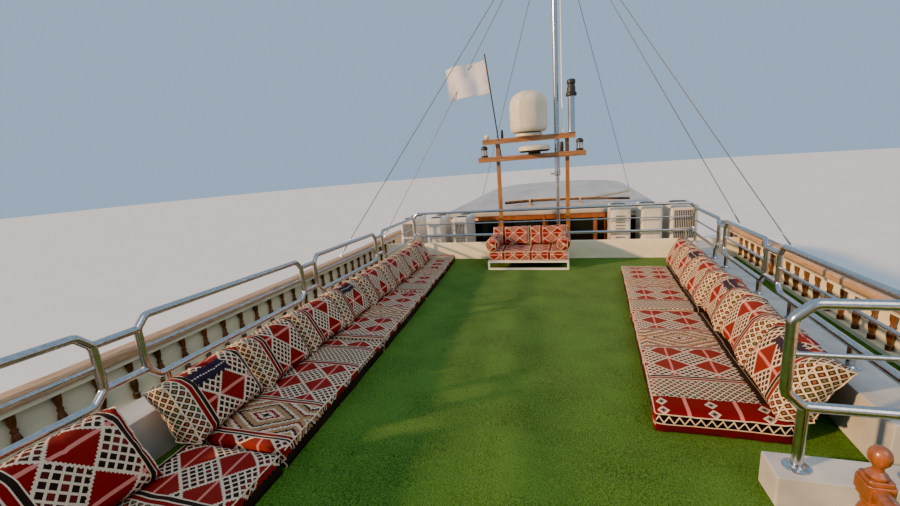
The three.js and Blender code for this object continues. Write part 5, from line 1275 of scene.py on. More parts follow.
class DHOW_OT_coamings(bpy.types.Operator):
    """Painted coamings, the low forward bulwark and the boards at the stair head"""

    bl_idname = "dhow.coamings"
    bl_label = "Coamings"

    def execute(self, context):
        dress(FINISHES["Worn deck paint"], "port_coaming", "starboard_coaming", "stair_coaming", bevel=0.008)
        dress(FINISHES["Satin oil paint on boards"], "forward_bulwark", bevel=0.006)
        dress(FINISHES["Varnished teak"], "stair", bevel=0.003)
        draft = Draft()
        foot = [(0.0, 0.0), (0.05, 0.0), (0.05, 0.085), (0.043, 0.1), (0.034, 0.118), (0.04, 0.13),
                (0.043, 0.15), (0.047, 0.19), (0.049, 0.24), (0.046, 0.29), (0.037, 0.325), (0.031, 0.34),
                (0.035, 0.35), (0.037, 0.362), (0.033, 0.372), (0.0, 0.372)]
        head = [(0.0, 0.462), (0.032, 0.462), (0.034, 0.472), (0.028, 0.48), (0.018, 0.49), (0.0165, 0.503),
                (0.023, 0.513), (0.031, 0.525), (0.0345, 0.541), (0.0345, 0.552), (0.031, 0.567),
                (0.023, 0.579), (0.012, 0.586), (0.0, 0.5885)]
        ends = []
        for x, y in ((-7.35, -1.62), (-9.15, -1.45)):
            base = Matrix.Translation((x, y, deck(x - 0.05) + GAP))
            draft.turned(foot, base, 28)
            draft.turned(head, base, 28)
            for low, high, half, cut in ((0.372, 0.39, 0.04, 0.01), (0.39, 0.445, 0.046, 0.012),
                                         (0.445, 0.462, 0.04, 0.01)):
                ring = [(half, cut - half), (half, half - cut), (half - cut, half), (cut - half, half),
                        (-half, half - cut), (-half, cut - half), (cut - half, -half), (half - cut, -half)]
                draft.grid([[base @ Vector((a, b, z)) for a, b in ring] for z in (low, high)], around=True,
                           ends=True)
            ends.append(Vector((x, y, deck(x) + 0.415)))
        draft.tube(ends, 0.028, 16)
        draft.piece("newel_posts", looks("Varnished teak"), "varnished_timber", "newel_rail", bevel=0.003)
        return {"FINISHED"}


def smooth_path(points, steps=6):
    """A smooth curve through points, as a list of vectors."""
    pts = [Vector(p) for p in points]
    pts = [2 * pts[0] - pts[1], *pts, 2 * pts[-1] - pts[-2]]
    path = []
    for a, b, c, d in zip(pts, pts[1:], pts[2:], pts[3:]):
        for i in range(steps):
            t = i / steps
            path.append(0.5 * (2 * b + (c - a) * t + (2 * a - 5 * b + 4 * c - d) * t**2
                               + (3 * b - 3 * c + d - a) * t**3))
    return path + [pts[-2]]


class DHOW_OT_bench(bpy.types.Operator):
    """White steel bench facing aft, with a stuffed seat, two back cushions and two round bolsters"""

    bl_idname = "dhow.bench"
    bl_label = "Bench"

    def execute(self, context):
        dress(FINISHES["White powder coat"], "bench_frame", bevel=0.003)
        covers = looks("Woven wool, bench", "Woven wool, lattice", "Cotton piping")
        seat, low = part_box("bench_seat")[0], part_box("bench_back")[0]
        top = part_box("bench_seat")[1][2]
        # columns: piece, node, size along, deep and high, middle, cloth's start along and up
        pads = (
            ("bench_seat_pad", "bench_seat", (1.39, 0.69, 0.15), (-1.59, 0.2, seat[2] + 0.084), (0.02, 0.1)),
            ("bench_back_cushion_port", "bench_back", (0.67, 0.15, 0.33), (-1.315, 0.545, low[2] + 0.178),
             (0.075, -0.02)),
            ("bench_back_cushion_starboard", None, (0.67, 0.15, 0.33), (-1.315, -0.145, low[2] + 0.178),
             (0.075, 0.2)),
        )
        for number, (name, node, size, middle, shift) in enumerate(pads):
            rest, final, faces, sides = stuffed(size, 0.024, 0.016, 21 + number)
            lean = 0.0 if number == 0 else 0.1
            points = placed(final, middle, -math.pi / 2, -lean)
            pairs = cushion_uv(rest, size, faces, sides, shift[1])
            pairs = [[(u + shift[0], v) for u, v in corner] for corner in pairs]
            draft = Draft()
            draft.add(points, faces, [1 if axis == 0 else 0 for axis, _ in sides], pairs)
            for ring in seam_loops(rest, size, 2 if number == 0 else 0):
                draft.tube([points[i] for i in ring], 0.0045, 6, closed=True, ink=2)
            piece = draft.piece(name, covers, "woven_fabric", *([node] if node else []), crease=80,
                                turn_out=False)
        for name, node, y, seed in (("bench_bolster_port", "bench_port_bolster", 0.82, 3.0),
                                    ("bench_bolster_starboard", "bench_starboard_bolster", -0.42, 8.0)):
            draft, sides, length = Draft(), 40, 0.53
            turns = [2 * math.pi * i / sides for i in range(sides)]
            # distance from the aft end and radius, crowned between gathered ends
            along = [(0.0, 0.02), (0.003, 0.06), (0.006, 0.1), (0.016, 0.111), (0.05, 0.1155), (0.13, 0.118),
                     (0.265, 0.119), (0.4, 0.118), (0.48, 0.1155), (0.514, 0.111), (0.524, 0.1),
                     (0.527, 0.06), (0.53, 0.02)]
            rows = []
            for run, radius in along:
                row = []
                for a in turns:
                    wave = noise.noise(Vector((run * 9, 3 * math.cos(a), 3 * math.sin(a) + seed)))
                    gather = math.exp(-min(run, length - run) / 0.02)
                    pleat = 0.004 * math.sin(14 * a) * gather * (radius > 0.05)
                    r = radius + 0.006 * wave * (radius > 0.05) + pleat
                    row.append((-1.94 + run, y + r * math.cos(a),
                                top + 0.122 + max(-0.1205, r * math.sin(a))))
                rows.append(row)
            verts = [p for row in rows for p in row]
            faces, pairs, inks = [], [], []
            for i in range(len(rows) - 1):
                flat = along[i][1] < 0.1 or along[i + 1][1] < 0.1
                for j in range(sides):
                    k = (j + 1) % sides
                    faces.append((i * sides + j, (i + 1) * sides + j, (i + 1) * sides + k, i * sides + k))
                    inks.append(0)
                    if flat:
                        pairs.append([(verts[n][1] - y + 0.37, verts[n][2] - top) for n in faces[-1]])
                    else:
                        u0, u1 = along[i][0] + 0.1, along[i + 1][0] + 0.1
                        v0, v1 = (0.118 * turns[1] * n for n in (j, j + 1))
                        pairs.append([(u0, v0), (u1, v0), (u1, v1), (u0, v1)])
            faces += [tuple(range(sides)), tuple(reversed(range(len(verts) - sides, len(verts))))]
            pairs += [[(0.37, 0.12)] * sides] * 2
            inks += [0, 0]
            draft.add(verts, faces, inks, pairs)
            for row in (rows[3], rows[-4]):
                draft.tube([Vector(p) for p in row], 0.0045, 6, closed=True, ink=2)
            piece = draft.piece(name, covers, "woven_fabric", node, crease=80)
        return {"FINISHED"}


class DHOW_OT_cooling_units(bpy.types.Operator):
    """Enamelled cooling units in two rows, with slatted grilles and fan guards"""

    bl_idname = "dhow.cooling_units"
    bl_label = "Cooling units"

    def execute(self, context):
        casing, dark, steel = looks("Enamelled casing", "Black moulded plastic", "Galvanised wire rope")
        aft, fore = -0.922, -0.135
        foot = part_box("port_cooling_units")[0][2]
        # columns: row, middle, width, height, face: slats in two panels, one column of slots, or plain
        units = (("port", 1.667, 0.3, 0.83, "slats"), ("port", 2.225, 0.29, 0.83, "plain"),
                 ("port", 2.826, 0.324, 0.83, "slats"), ("starboard", -1.43, 0.345, 0.915, "slots"),
                 ("starboard", -1.957, 0.335, 0.915, "plain"), ("starboard", -2.485, 0.43, 0.915, "slats"))
        drafts = {"port": Draft(), "starboard": Draft()}
        slats, slots, rings = [], [], []
        for side, y, width, high, face in units:
            draft = drafts[side]
            z0, z1, half = foot + 0.036, foot + 0.036 + high, width / 2

            def loop(z, grow, round_by=0.028):
                points = []
                for cx, cy, start in ((fore - round_by, y + half - round_by, 0),
                                      (aft + round_by, y + half - round_by, 1),
                                      (aft + round_by, y - half + round_by, 2),
                                      (fore - round_by, y - half + round_by, 3)):
                    for step in range(5):
                        a = (start + step / 4) * math.pi / 2
                        points.append((cx + (round_by + grow) * math.cos(a),
                                       cy + (round_by + grow) * math.sin(a), z))
                return points

            draft.grid([loop(z0, -0.01), loop(z0, 0), loop(z0 + 0.05, 0), loop(z0 + 0.052, -0.003),
                        loop(z0 + 0.056, -0.003), loop(z0 + 0.058, 0), loop(z1 - 0.07, 0),
                        loop(z1 - 0.068, 0.003), loop(z1 - 0.03, 0.003), loop(z1 - 0.012, -0.004),
                        loop(z1 - 0.002, -0.016), loop(z1, -0.028)], around=True, ends=True)
            for x in (aft + 0.06, fore - 0.1):
                draft.box((x, y - half + 0.02, foot), (x + 0.04, y + half - 0.02, z0), 1)
            place = lambda u, v, out: (aft - out, u, v)
            if face == "slats":
                middle = z0 + high * 0.53
                for low, top in ((z0 + 0.09, middle - 0.02), (middle + 0.02, z1 - 0.09)):
                    draft.trim(place, (y - half + 0.045, low), (y + half - 0.045, top), 0.012,
                               (-0.001, 0.006))
                    # A black plate behind the slats: painted shade of the unit's inside
                    draft.box((aft - 0.002, y - half + 0.045, low), (aft + 0.002, y + half - 0.045, top), 1)
                    count = int((width - 0.09) / 0.028)
                    for i in range(count):
                        at = y - half + 0.045 + (i + 0.5) * (width - 0.09) / count
                        slats.append(((aft - 0.004, at, (low + top) / 2), (0, 0, 0.5)))
            elif face == "slots":
                for i in range(11):
                    at = z0 + 0.12 + i * 0.058 + (0.05 if i > 4 else 0)
                    slots.append(((aft - 0.002, y, at), (0, -0.5, 0)))
                    # Each slot is a black inlay under its lip: painted shade of the opening
                    draft.box((aft - 0.0015, y - 0.085, at - 0.012), (aft + 0.002, y + 0.085, at + 0.012), 1)
            else:
                draft.trim(place, (y - half + 0.05, z0 + 0.1), (y + half - 0.05, z1 - 0.1), 0.008,
                           (-0.001, 0.004))
            # Side louvres and the fan on top
            for flank in (-1, 1):
                for i in range(9):
                    at = z0 + 0.2 + i * 0.05
                    wall = y + flank * half
                    draft.box((aft + 0.12, wall, at), (fore - 0.12, wall + flank * 0.004, at + 0.006), 0,
                              lambda p, w=wall, z=at: (p[0], p[1],
                                                       p[2] + (0.016 if abs(p[1] - w) > 0.002 else 0)))
            for x in (-0.72, -0.36):
                reach = min(0.15, half - 0.03)
                # The black disc under the guard is the fan, and painted shade of its opening
                draft.turned([(0, z1 - 0.004), (reach, z1 - 0.004), (reach, z1 + 0.001), (0, z1 + 0.001)],
                             (x, y, 0), 28, ink=1)
                for r in np.arange(0.03, reach + 0.001, 0.02):
                    rings.append(([(x + r * math.cos(a), y + r * math.sin(a), z1 + 0.004) for a in
                                   (2 * math.pi * i / 28 for i in range(28))], True))
                for a in (0, math.pi / 3, 2 * math.pi / 3):
                    dx, dy = reach * math.cos(a), reach * math.sin(a)
                    rings.append(([(x - dx, y - dy, z1 + 0.006), (x + dx, y + dy, z1 + 0.006)], False))
        for side, draft in drafts.items():
            low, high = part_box(side + "_cooling_units")
            for x in (-0.86, -0.2):
                draft.box((x - 0.03, low[1] + 0.01, foot), (x + 0.03, high[1] - 0.01, foot + 0.034), 1)
            draft.piece(side + "_cooling_casings", [casing, dark], "moulded_plastic", side + "_cooling_units",
                        bevel=0.002)
        bars("cooling_fan_guards", rings, 0.0022, steel, "stainless_steel", sides=5)
        blade = Draft()
        blade.box((-0.0015, -0.006, -0.165), (0.0015, 0.006, 0.165))
        scattered("cooling_grille_slats", blade.shape("slat"), slats, casing, "moulded_plastic")
        lip = Draft()
        lip.box((-0.001, -0.085, -0.004), (0.001, 0.085, 0.004))
        scattered("cooling_slot_lips", lip.shape("lip"), slots, casing, "moulded_plastic")
        return {"FINISHED"}


MAST = (-0.555, -0.3)
BAR_X = -0.73


class DHOW_OT_rig(bpy.types.Operator):
    """Mast and stays, and the goalpost frame with lanterns, dome, radar, flue, whip aerial and flag staff"""

    bl_idname = "dhow.rig"
    bl_label = "Rig"

    def execute(self, context):
        steel, wire, varnish, across, plastic, resin = looks("Polished stainless steel",
                                                             "Galvanised wire rope", "Sunned teak upright",
                                                             "Sunned teak crosswise", "Black moulded plastic",
                                                             "Aged glass fibre")
        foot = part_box("mast")[0][2]
        stand = Matrix.Translation((*MAST, foot))
        mast = Draft()
        mast.turned([(0, 0), (0.105, 0), (0.105, 0.012), (0.099, 0.018), (0.06, 0.028), (0.046, 0.05),
                     (0.042, 0.062), (0.038, 0.066), (0.038, 1.59), (0.058, 1.592), (0.062, 1.598),
                     (0.062, 1.618), (0.0585, 1.621), (0.0585, 1.641), (0.062, 1.644), (0.062, 1.66),
                     (0.057, 1.667), (0.0525, 1.669), (0.052, 1.7), (0.046, 6.045), (0.07, 6.047),
                     (0.07, 6.1), (0.066, 6.107), (0.046, 6.107), (0.0455, 6.2), (0.058, 6.21),
                     (0.058, 6.235), (0.05, 6.25), (0.02, 6.255), (0, 6.255)], stand, 36)
        mast.turned([(0, 6.255), (0.03, 6.255), (0.034, 6.262), (0.034, 6.29), (0.022, 6.3), (0, 6.303)],
                    stand, 20, ink=1)
        for turn in range(4):
            a = turn * math.pi / 2 + 0.6
            bolt = stand @ Matrix.Translation((0.082 * math.cos(a), 0.082 * math.sin(a), 0.0))
            mast.turned([(0, 0.018), (0.011, 0.018), (0.011, 0.028), (0.007, 0.031), (0, 0.032)], bolt, 6)
        side = stand @ Matrix.Translation((0, 0.062, 1.63)) @ Matrix.Rotation(-math.pi / 2, 4, "X")
        mast.turned([(0, -0.01), (0.012, -0.01), (0.012, 0.03), (0.022, 0.035), (0.026, 0.05), (0.02, 0.064),
                     (0, 0.07)], side, 16)
        mast.piece("mast_tube", [steel, plastic], "stainless_steel", "mast")

        # Stays with their band, bottle screws and eye plates
        band, screws, wires = Draft(), Draft(), []
        band.turned([(0.047, 6.115), (0.078, 6.115), (0.08, 6.12), (0.08, 6.15), (0.078, 6.155),
                     (0.047, 6.155)], stand, 30)
        cap_top = 0.5
        feet = [(x, s * (edge_half(x) - 0.025), deck(x) + cap_top) for x in (-3.0, -1.0) for s in (-1, 1)]
        feet += [(4.0, s * 2.18, 4.35) for s in (-1, 1)]
        head = Vector((*MAST, MASTHEAD))
        for p in feet:
            eye = Vector(p) + Vector((0, 0, 0.03))
            way = (head - eye).normalized()
            start = head - Vector((way.x, way.y, 0)).normalized() * 0.07
            way = (start - eye).normalized()
            wires.append(([eye + way * 0.3, start], False))
            facing = way.to_track_quat("Z", "Y").to_matrix().to_4x4()
            at = Matrix.Translation(eye) @ facing
            screws.turned([(0, 0.0), (0.009, 0.0), (0.011, 0.02), (0.005, 0.03), (0.005, 0.07), (0.01, 0.072),
                           (0.0125, 0.085), (0.0125, 0.225), (0.01, 0.238), (0.005, 0.24), (0.005, 0.275),
                           (0.0085, 0.28), (0.0085, 0.33), (0, 0.335)], at, 14)
            screws.turned([(0, 0), (0.045, 0), (0.045, 0.006), (0.02, 0.009), (0.012, 0.03), (0, 0.036)],
                          p, 20)
        band.piece("stay_band", [steel], "stainless_steel", "stays")
        screws.piece("stay_screws", [steel], "stainless_steel")
        bars("stay_wires", wires, 0.0065, wire, "stainless_steel", sides=8)

        # Goalpost frame: two posts under two bars, lapped and bolted
        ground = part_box("goalpost_frame")[0][2]
        timber_frame = Draft()
        for y in (-0.49, 0.84):
            timber_frame.box((-0.677, y - 0.037, ground), (-0.603, y + 0.037, 5.88))
            timber_frame.box((-0.69, y - 0.05, ground), (-0.6, y + 0.05, ground + 0.09))
        for y0, y1, z in ((-0.83, 1.22, 5.515), (-0.645, 1.115, 5.853)):
            timber_frame.box((-0.795, y0, z - 0.049), (-0.6775, y1, z + 0.049), 1)
            for y in (-0.49, 0.84):
                for dz in (-0.02, 0.02):
                    bolt = Matrix.Translation((-0.794, y, z + dz)) @ Matrix.Rotation(-math.pi / 2, 4, "Y")
                    timber_frame.turned([(0, 0), (0.009, 0), (0.007, 0.0008), (0, 0.001)], bolt, 8, ink=2)
        timber_frame.piece("goalpost_timbers", [varnish, across, steel], "varnished_timber", "goalpost_frame",
                           bevel=0.006)
        lamps = Draft()
        for y in (-0.718, 1.098):
            at = Matrix.Translation((BAR_X, y, LOW_BAR_TOP))
            lamps.turned([(0, 0), (0.066, 0), (0.068, 0.006), (0.068, 0.03), (0.058, 0.036), (0, 0.036)], at,
                         28, ink=1)
            lamps.turned([(0, 0.036), (0.054, 0.036), (0.056, 0.05), (0.056, 0.14), (0.05, 0.146),
                          (0, 0.146)], at, 28, ink=0)
            lamps.turned([(0, 0.146), (0.062, 0.146), (0.067, 0.152), (0.066, 0.18), (0.052, 0.205),
                          (0.03, 0.219), (0.012, 0.2225), (0, 0.2245)], at, 28, ink=1)
            for turn in range(4):
                a = turn * math.pi / 2
                foot_at = Vector((BAR_X + 0.062 * math.cos(a), y + 0.062 * math.sin(a), 5.59))
                lamps.tube([foot_at, foot_at + Vector((0, 0, 0.13))], 0.003, 6)
        # A small lamp, a sensor and a round white float on the bars
        lamps.turned([(0, 0), (0.045, 0), (0.045, 0.02), (0.03, 0.03), (0.036, 0.06), (0.036, 0.15),
                      (0.028, 0.18), (0, 0.19)], (BAR_X, -0.39, LOW_BAR_TOP), 22, ink=1)
        lamps.turned([(0, 0), (0.026, 0), (0.026, 0.11), (0.02, 0.16), (0, 0.17)],
                     (BAR_X, 0.73, HIGH_BAR_TOP), 18, ink=1)
        lamps.turned([(0, 0), (0.03, 0.004), (0.05, 0.025), (0.055, 0.05), (0.048, 0.078), (0.026, 0.097),
                      (0, 0.102)],
                     (BAR_X, 1.032, HIGH_BAR_TOP), 24, ink=2)
        lamps.piece("masthead_lamps", [steel, plastic, resin], "moulded_plastic")

        over = HIGH_BAR_TOP
        dome = Draft()
        at = Matrix.Translation((BAR_X, 0.21, over))
        dome.turned([(0, 0), (0.24, 0), (0.25, 0.006), (0.25, 0.05), (0.244, 0.056), (0, 0.056)], at, 56)
        dome.turned([(0, 0.056), (0.222, 0.056), (0.222, 0.074), (0, 0.074)], at, 56, ink=1)
        dome.turned([(0, 0.074), (0.3, 0.074), (0.318, 0.082), (0.332, 0.1), (0.344, 0.125), (0.349, 0.16),
                     (0.35, 0.3), (0.35, 0.545), (0.345, 0.6), (0.331, 0.655), (0.305, 0.708), (0.265, 0.752),
                     (0.21, 0.787), (0.14, 0.812), (0.07, 0.825), (0.02, 0.829), (0, 0.83)], at, 56)
        dome.turned([(0.3495, 0.168), (0.352, 0.17), (0.352, 0.184), (0.3495, 0.186)], at, 56)
        dome.piece("dome_shell", [resin, plastic], "moulded_plastic", "satellite_dome", crease=50)
        radar = Draft()
        at = Matrix.Translation((-0.731, 0.12, LOW_BAR_TOP))
        radar.turned([(0, 0), (0.11, 0), (0.12, 0.008), (0.12, 0.026), (0.1, 0.032), (0, 0.032)], at, 40,
                     ink=1)
        radar.turned([(0, 0.032), (0.24, 0.032), (0.27, 0.038), (0.288, 0.05), (0.296, 0.066), (0, 0.066)],
                     at, 48, ink=1)
        radar.turned([(0, 0.067), (0.297, 0.067), (0.3, 0.09), (0.297, 0.115), (0.287, 0.136), (0.262, 0.15),
                      (0.2, 0.16), (0.1, 0.166), (0, 0.1695)], at, 48)
        radar.piece("radar_drum", [resin, plastic], "moulded_plastic", "radar", crease=50)
        flue = Draft()
        at = Matrix.Translation((BAR_X, -0.575, over))
        flue.turned([(0, 0), (0.09, 0), (0.09, 0.008), (0.064, 0.014), (0.062, 0.03), (0.062, 0.3),
                     (0.065, 0.302), (0.065, 0.318), (0.062, 0.32), (0.062, 0.64), (0, 0.64)], at, 32)
        flue.turned([(0, 0.64), (0.09, 0.64), (0.098, 0.648), (0.098, 0.692), (0.09, 0.7), (0.077, 0.712),
                     (0.075, 0.722), (0.075, 0.79), (0.07, 0.8), (0.066, 0.812), (0.066, 0.845),
                     (0.074, 0.852), (0.076, 0.86), (0.076, 0.908), (0.066, 0.926), (0.04, 0.936),
                     (0, 0.938)], at, 32, ink=1)
        flue.piece("exhaust_flue", [steel, plastic], "stainless_steel", "flue")
        whip = Draft()
        at = Matrix.Translation((BAR_X, -0.41, over))
        whip.turned([(0, 0), (0.03, 0), (0.03, 0.05), (0.027, 0.07), (0.017, 0.075), (0.017, 0.17),
                     (0.014, 0.18), (0.0135, 1.5), (0.016, 1.502), (0.016, 1.53), (0.012, 1.535),
                     (0.0075, 3.04), (0.009, 3.045), (0.006, 3.054), (0, 3.055)], at, 20)
        whip.piece("whip_aerial", looks("White powder coat"), "moulded_plastic", "whip_antenna")
        staff = Draft()
        staff.tube([(STAFF_X, 0.7505, 5.485), (STAFF_X, 0.982, 7.455)], 0.0125, 14)
        staff.turned([(0, 0), (0.016, 0.001), (0.017, 0.008), (0.012, 0.018), (0, 0.022)],
                     (STAFF_X, 0.9835, 7.457), 16, ink=1)
        for z in (5.5, 5.83):
            staff.turned([(0.012, -0.012), (0.0165, -0.012), (0.0165, 0.012), (0.012, 0.012)],
                         (STAFF_X, staff_y(z), z), 16, ink=1)
        staff.piece("flag_pole", [plastic, steel], "varnished_timber", "flag_staff")
        return {"FINISHED"}


class DHOW_OT_flag(bpy.types.Operator):
    """Plain pale flag streaming to port from its staff, with a hem and three ties"""

    bl_idname = "dhow.flag"
    bl_label = "Flag"

    def execute(self, context):
        fly, hoist = 0.85, 0.6
        across, down = 68, 40
        rows = []
        for j in range(down + 1):
            t = j / down
            z0 = 7.355 - 0.595 * t
            y = staff_y(z0) + 0.016
            x, row, step = STAFF_X, [], fly / across
            for i in range(across + 1):
                s = i / across
                row.append((x, y, z0 - 0.075 * s**1.4 - 0.012 * math.sin(5.5 * s)))
                # the cloth's slope to either side; its length along the fly stays what was cut
                slope = 0.62 * min(1, 4 * s) * math.sin(9.5 * s + 1.4 * t) + 0.1 * math.sin(23 * s - 3 * t)
                x += step * slope * 0.75
                y += step * math.sqrt(max(0.2, 1 - (0.75 * slope) ** 2)) * (1 - 0.035 * s)
            rows.append(row)
        sheet = Draft()
        sheet.grid(rows)
        cloth = sheet.piece("flag_cloth", looks("Flag polyester"), "flag_cloth", "flag", crease=80,
                            turn_out=False)
        thick = cloth.modifiers.new("Cloth thickness", "SOLIDIFY")
        thick.thickness, thick.offset = 0.0012, 0
        hem = Draft()
        edge = [r[0] for r in rows]
        hem.tube([Vector(p) for p in edge], 0.004, 8)
        hem.tube([Vector(r[-1]) for r in rows], 0.0022, 6)
        hem.tube([Vector(p) for p in rows[0]], 0.0022, 6)
        hem.tube([Vector(p) for p in rows[-1]], 0.0022, 6)
        for p in (edge[1], edge[down // 2], edge[-2]):
            centre = Vector((STAFF_X, p[1] - 0.012, p[2]))
            hem.tube([centre + p for p in circle(0.019, 14)], 0.002, 6, closed=True)
        edging = hem.piece("flag_hem", looks("Cotton piping"), "flag_cloth", crease=80)
        return {"FINISHED"}


class DHOW_OT_roof_poles(bpy.types.Operator):
    """Two bent spare poles lashed on bearers on the forward roof"""

    bl_idname = "dhow.roof_poles"
    bl_label = "Roof poles"

    def execute(self, context):
        # columns: points along the pole, radii at its ends, knots, finish
        poles = (
            ([(1.05, 1.0), (1.42, 0.56), (1.5, 0.0), (1.4, -0.64), (1.48, -1.08), (1.9, -1.52), (2.62, -2.0)],
             (0.034, 0.022), 0.002, 0),
            ([(0.98, 1.0), (1.23, 0.4), (1.27, -0.2), (1.18, -0.9), (0.85, -1.8)], (0.035, 0.024), 0.006, 1),
        )
        draft = Draft()
        for points, (thick, thin), knots, ink in poles:
            path = smooth_path([(x, y, 4.443) for x, y in points], 12)
            rows = []
            for i, p in enumerate(path):
                ahead = (path[min(i + 1, len(path) - 1)] - path[max(i - 1, 0)]).normalized()
                level = Vector((0, 0, 1)).cross(ahead).normalized()
                r = thick + (thin - thick) * i / len(path)
                r += knots * max(0, noise.noise(Vector((i * 0.6, ink * 9, 0)))) * 1.4
                rows.append([p + (r + knots * 0.35 * noise.noise(Vector((i, 4 * math.cos(a),
                                                                         4 * math.sin(a)))))
                             * (math.cos(a) * level + math.sin(a) * Vector((0, 0, 1)))
                             for a in (2 * math.pi * k / 16 for k in range(16))])
            draft.grid(rows, around=True, ends=True, ink=ink)
        for y in (0.42, -0.76):
            draft.box((1.08, y - 0.035, 4.3503), (1.54, y + 0.035, 4.409), 2)
        for y, spots in ((0.42, (1.222, 1.455)), (-0.76, (1.195, 1.41))):
            for x in spots:
                for dy in (-0.012, 0.0, 0.012):
                    draft.tube([Vector((x + 0.042 * math.cos(a), y + dy, 4.436 + 0.044 * math.sin(a)))
                                for a in
                                (2 * math.pi * i / 16 for i in range(16))], 0.0045, 6, closed=True, ink=3)
        draft.piece("spare_poles", looks("Peeled pole", "Rough pole", "Oiled teak cap", "Cotton piping"),
                    "deck_timber", "spar", crease=60)
        return {"FINISHED"}


def saloon_half(x):
    """Half breadth at the outside of the saloon's side walls."""
    return edge_half(x) - 0.42


def main_deck(x):
    """Height of the saloon floor."""
    return deck(x) - HEADROOM


def fore_deck(x):
    """Height of the deck forward."""
    return 2.05 + 0.045 * max(0.0, x)


SALOON_WINDOWS = (-9.9, -8.4, -6.9, -5.4, -3.9, -2.4)
FORE_WINDOWS = (0.7, 2.1, 5.3)


class DHOW_OT_saloons(bpy.types.Operator):
    """Painted walls with window frames, panels and skirtings, the forward roof and its glazing"""

    bl_idname = "dhow.saloons"
    bl_label = "Saloons"

    def execute(self, context):
        paint, frames = FINISHES["Satin oil paint on boards"], FINISHES["Varnished teak"]
        dress(paint, "port_saloon_wall", "starboard_saloon_wall", "saloon_aft_wall", "saloon_fore_wall",
              "fore_saloon_aft_wall", "fore_saloon_port_wall", "fore_saloon_starboard_wall",
              "fore_saloon_front", bevel=0.004)
        dress(FINISHES["White gel coat"], "fore_roof", bevel=0.02)
        dress(FINISHES["Tinted glass"], "port_saloon_glass", "starboard_saloon_glass", "aft_glazing")
        trims, panes, mouldings = Draft(), Draft(), Draft()

        def opening(place, low, high, bars_at=()):
            trims.trim(place, low, high, 0.06, (0.0005, 0.022))
            trims.trim(place, (low[0] + 0.025, low[1] + 0.025), (high[0] - 0.025, high[1] - 0.025), 0.024,
                       (-0.085, 0.01))
            for share in bars_at:
                at = low[0] + (high[0] - low[0]) * share
                trims.box((at - 0.016, -0.08, low[1] + 0.02), (at + 0.016, -0.02, high[1] - 0.02),
                          0, lambda p: place(p[0], p[2], p[1]))
            across = low[1] + 0.62 * (high[1] - low[1])
            trims.box((low[0] + 0.02, -0.079, across - 0.014), (high[0] - 0.02, -0.021, across + 0.014),
                      0, lambda p: place(p[0], p[2], p[1]))
            sill = (low[0] - 0.09, 0.0, low[1] - 0.09), (high[0] + 0.09, 0.05, low[1] - 0.06)
            trims.box(*sill, 0, lambda p: place(p[0], p[2], p[1]))

        for side in (-1, 1):
            wall = lambda u, v, out, s=side: (u, s * (saloon_half(u) + out), v)
            for x in SALOON_WINDOWS:
                sill = main_deck(x) + 0.9
                opening(wall, (x, sill), (x + 1.05, sill + 0.8), (0.5,))
                for at, wide in ((x, 0.48), (x + 0.57, 0.48)):
                    mouldings.trim(wall, (at, main_deck(x) + 0.2), (at + wide, main_deck(x + 1.05) + 0.7),
                                   0.035, (0.0005, 0.014))
            for low, high, out in ((0.0, 0.11, 0.018), (1.82, 1.9, 0.022)):
                xs = [SALOON_AFT, *[x for x in DECK_FRAMES if SALOON_AFT < x < -0.32], -0.32]
                mouldings.grid([[wall(x, main_deck(x) + z, o)
                                 for z, o in ((low + 0.001, 0.0005), (low + 0.001, out),
                                (high - 0.015, out), (high, 0.0005))] for x in xs], around=True, ends=True)
            face = lambda u, v, out, s=side: (u, s * (2.19 + out), v)
            for x in FORE_WINDOWS:
                sill = fore_deck(x) + 0.9
                opening(face, (x, sill), (x + 1.0, sill + 0.8), (0.5,))
                panes.box((x + 0.002, side * 2.136, sill + 0.002), (x + 0.998, side * 2.142, sill + 0.798))
                mouldings.trim(face, (x + 0.06, sill - 0.66), (x + 0.94, sill - 0.2), 0.035, (0.0005, 0.014))
            # On the port side it stops where the door slides to
            xs = [0.12, 3.0, 3.38 if side > 0 else 6.79]
            mouldings.grid([[face(x, fore_deck(x) + z, o)
                             for z, o in ((0.002, 0.0005), (0.002, 0.02), (0.1, 0.02),
                            (0.115, 0.0005))] for x in xs], around=True, ends=True)
        front = lambda u, v, out: (9.0 + out, u, v)
        for y in (-1.15, -0.35, 0.45):
            sill = fore_deck(9.0) + 0.9
            opening(front, (y, sill), (y + 0.7, sill + 0.65))
            panes.box((8.952, y + 0.002, sill + 0.002), (8.958, y + 0.698, sill + 0.648))
            mouldings.trim(front, (y + 0.04, fore_deck(9.0) + 0.15), (y + 0.66, fore_deck(9.0) + 0.7), 0.03,
                           (0.0005, 0.012))
        after = lambda u, v, out: (SALOON_AFT - out, u, v)
        for y in (-1.5, 0.8):
            sill = main_deck(SALOON_AFT) + 0.9
            opening(after, (y, sill), (y + 0.7, sill + 0.8), (0.5,))
            panes.box((-10.36, y + 0.002, sill + 0.002), (-10.354, y + 0.698, sill + 0.798))
            mouldings.trim(after, (y + 0.05, sill - 0.72), (y + 0.65, sill - 0.2), 0.035, (0.0005, 0.014))
        floor = main_deck(SALOON_AFT)
        trims.trim(after, (-0.36, floor + 0.1), (0.385, floor + 1.89), 0.07, (0.0005, 0.02))
        # Glazing over the aft wall: a timber head, uprights and a sill rail
        glazing = lambda u, v, out: (0.12 - out, u, v)
        for y in (-2.05, -1.02, 0.01, 1.04):
            trims.trim(glazing, (y + 0.02, 3.64), (y + 0.96, 4.15), 0.024, (-0.08, 0.012))
            trims.box((0.095, y - 0.042, 3.6), (0.1195, y - 0.006, 4.18))
        trims.box((0.07, -1.25, 4.16), (0.1195, 1.5, 4.2595))
        trims.box((0.085, -2.12, 3.585), (0.1195, 2.06, 3.618))
        trims.box((0.06, -1.29, 3.585), (0.1195, -1.22, 4.2595))
        trims.box((0.06, 0.0, 3.585), (0.1195, 0.05, 4.2595))
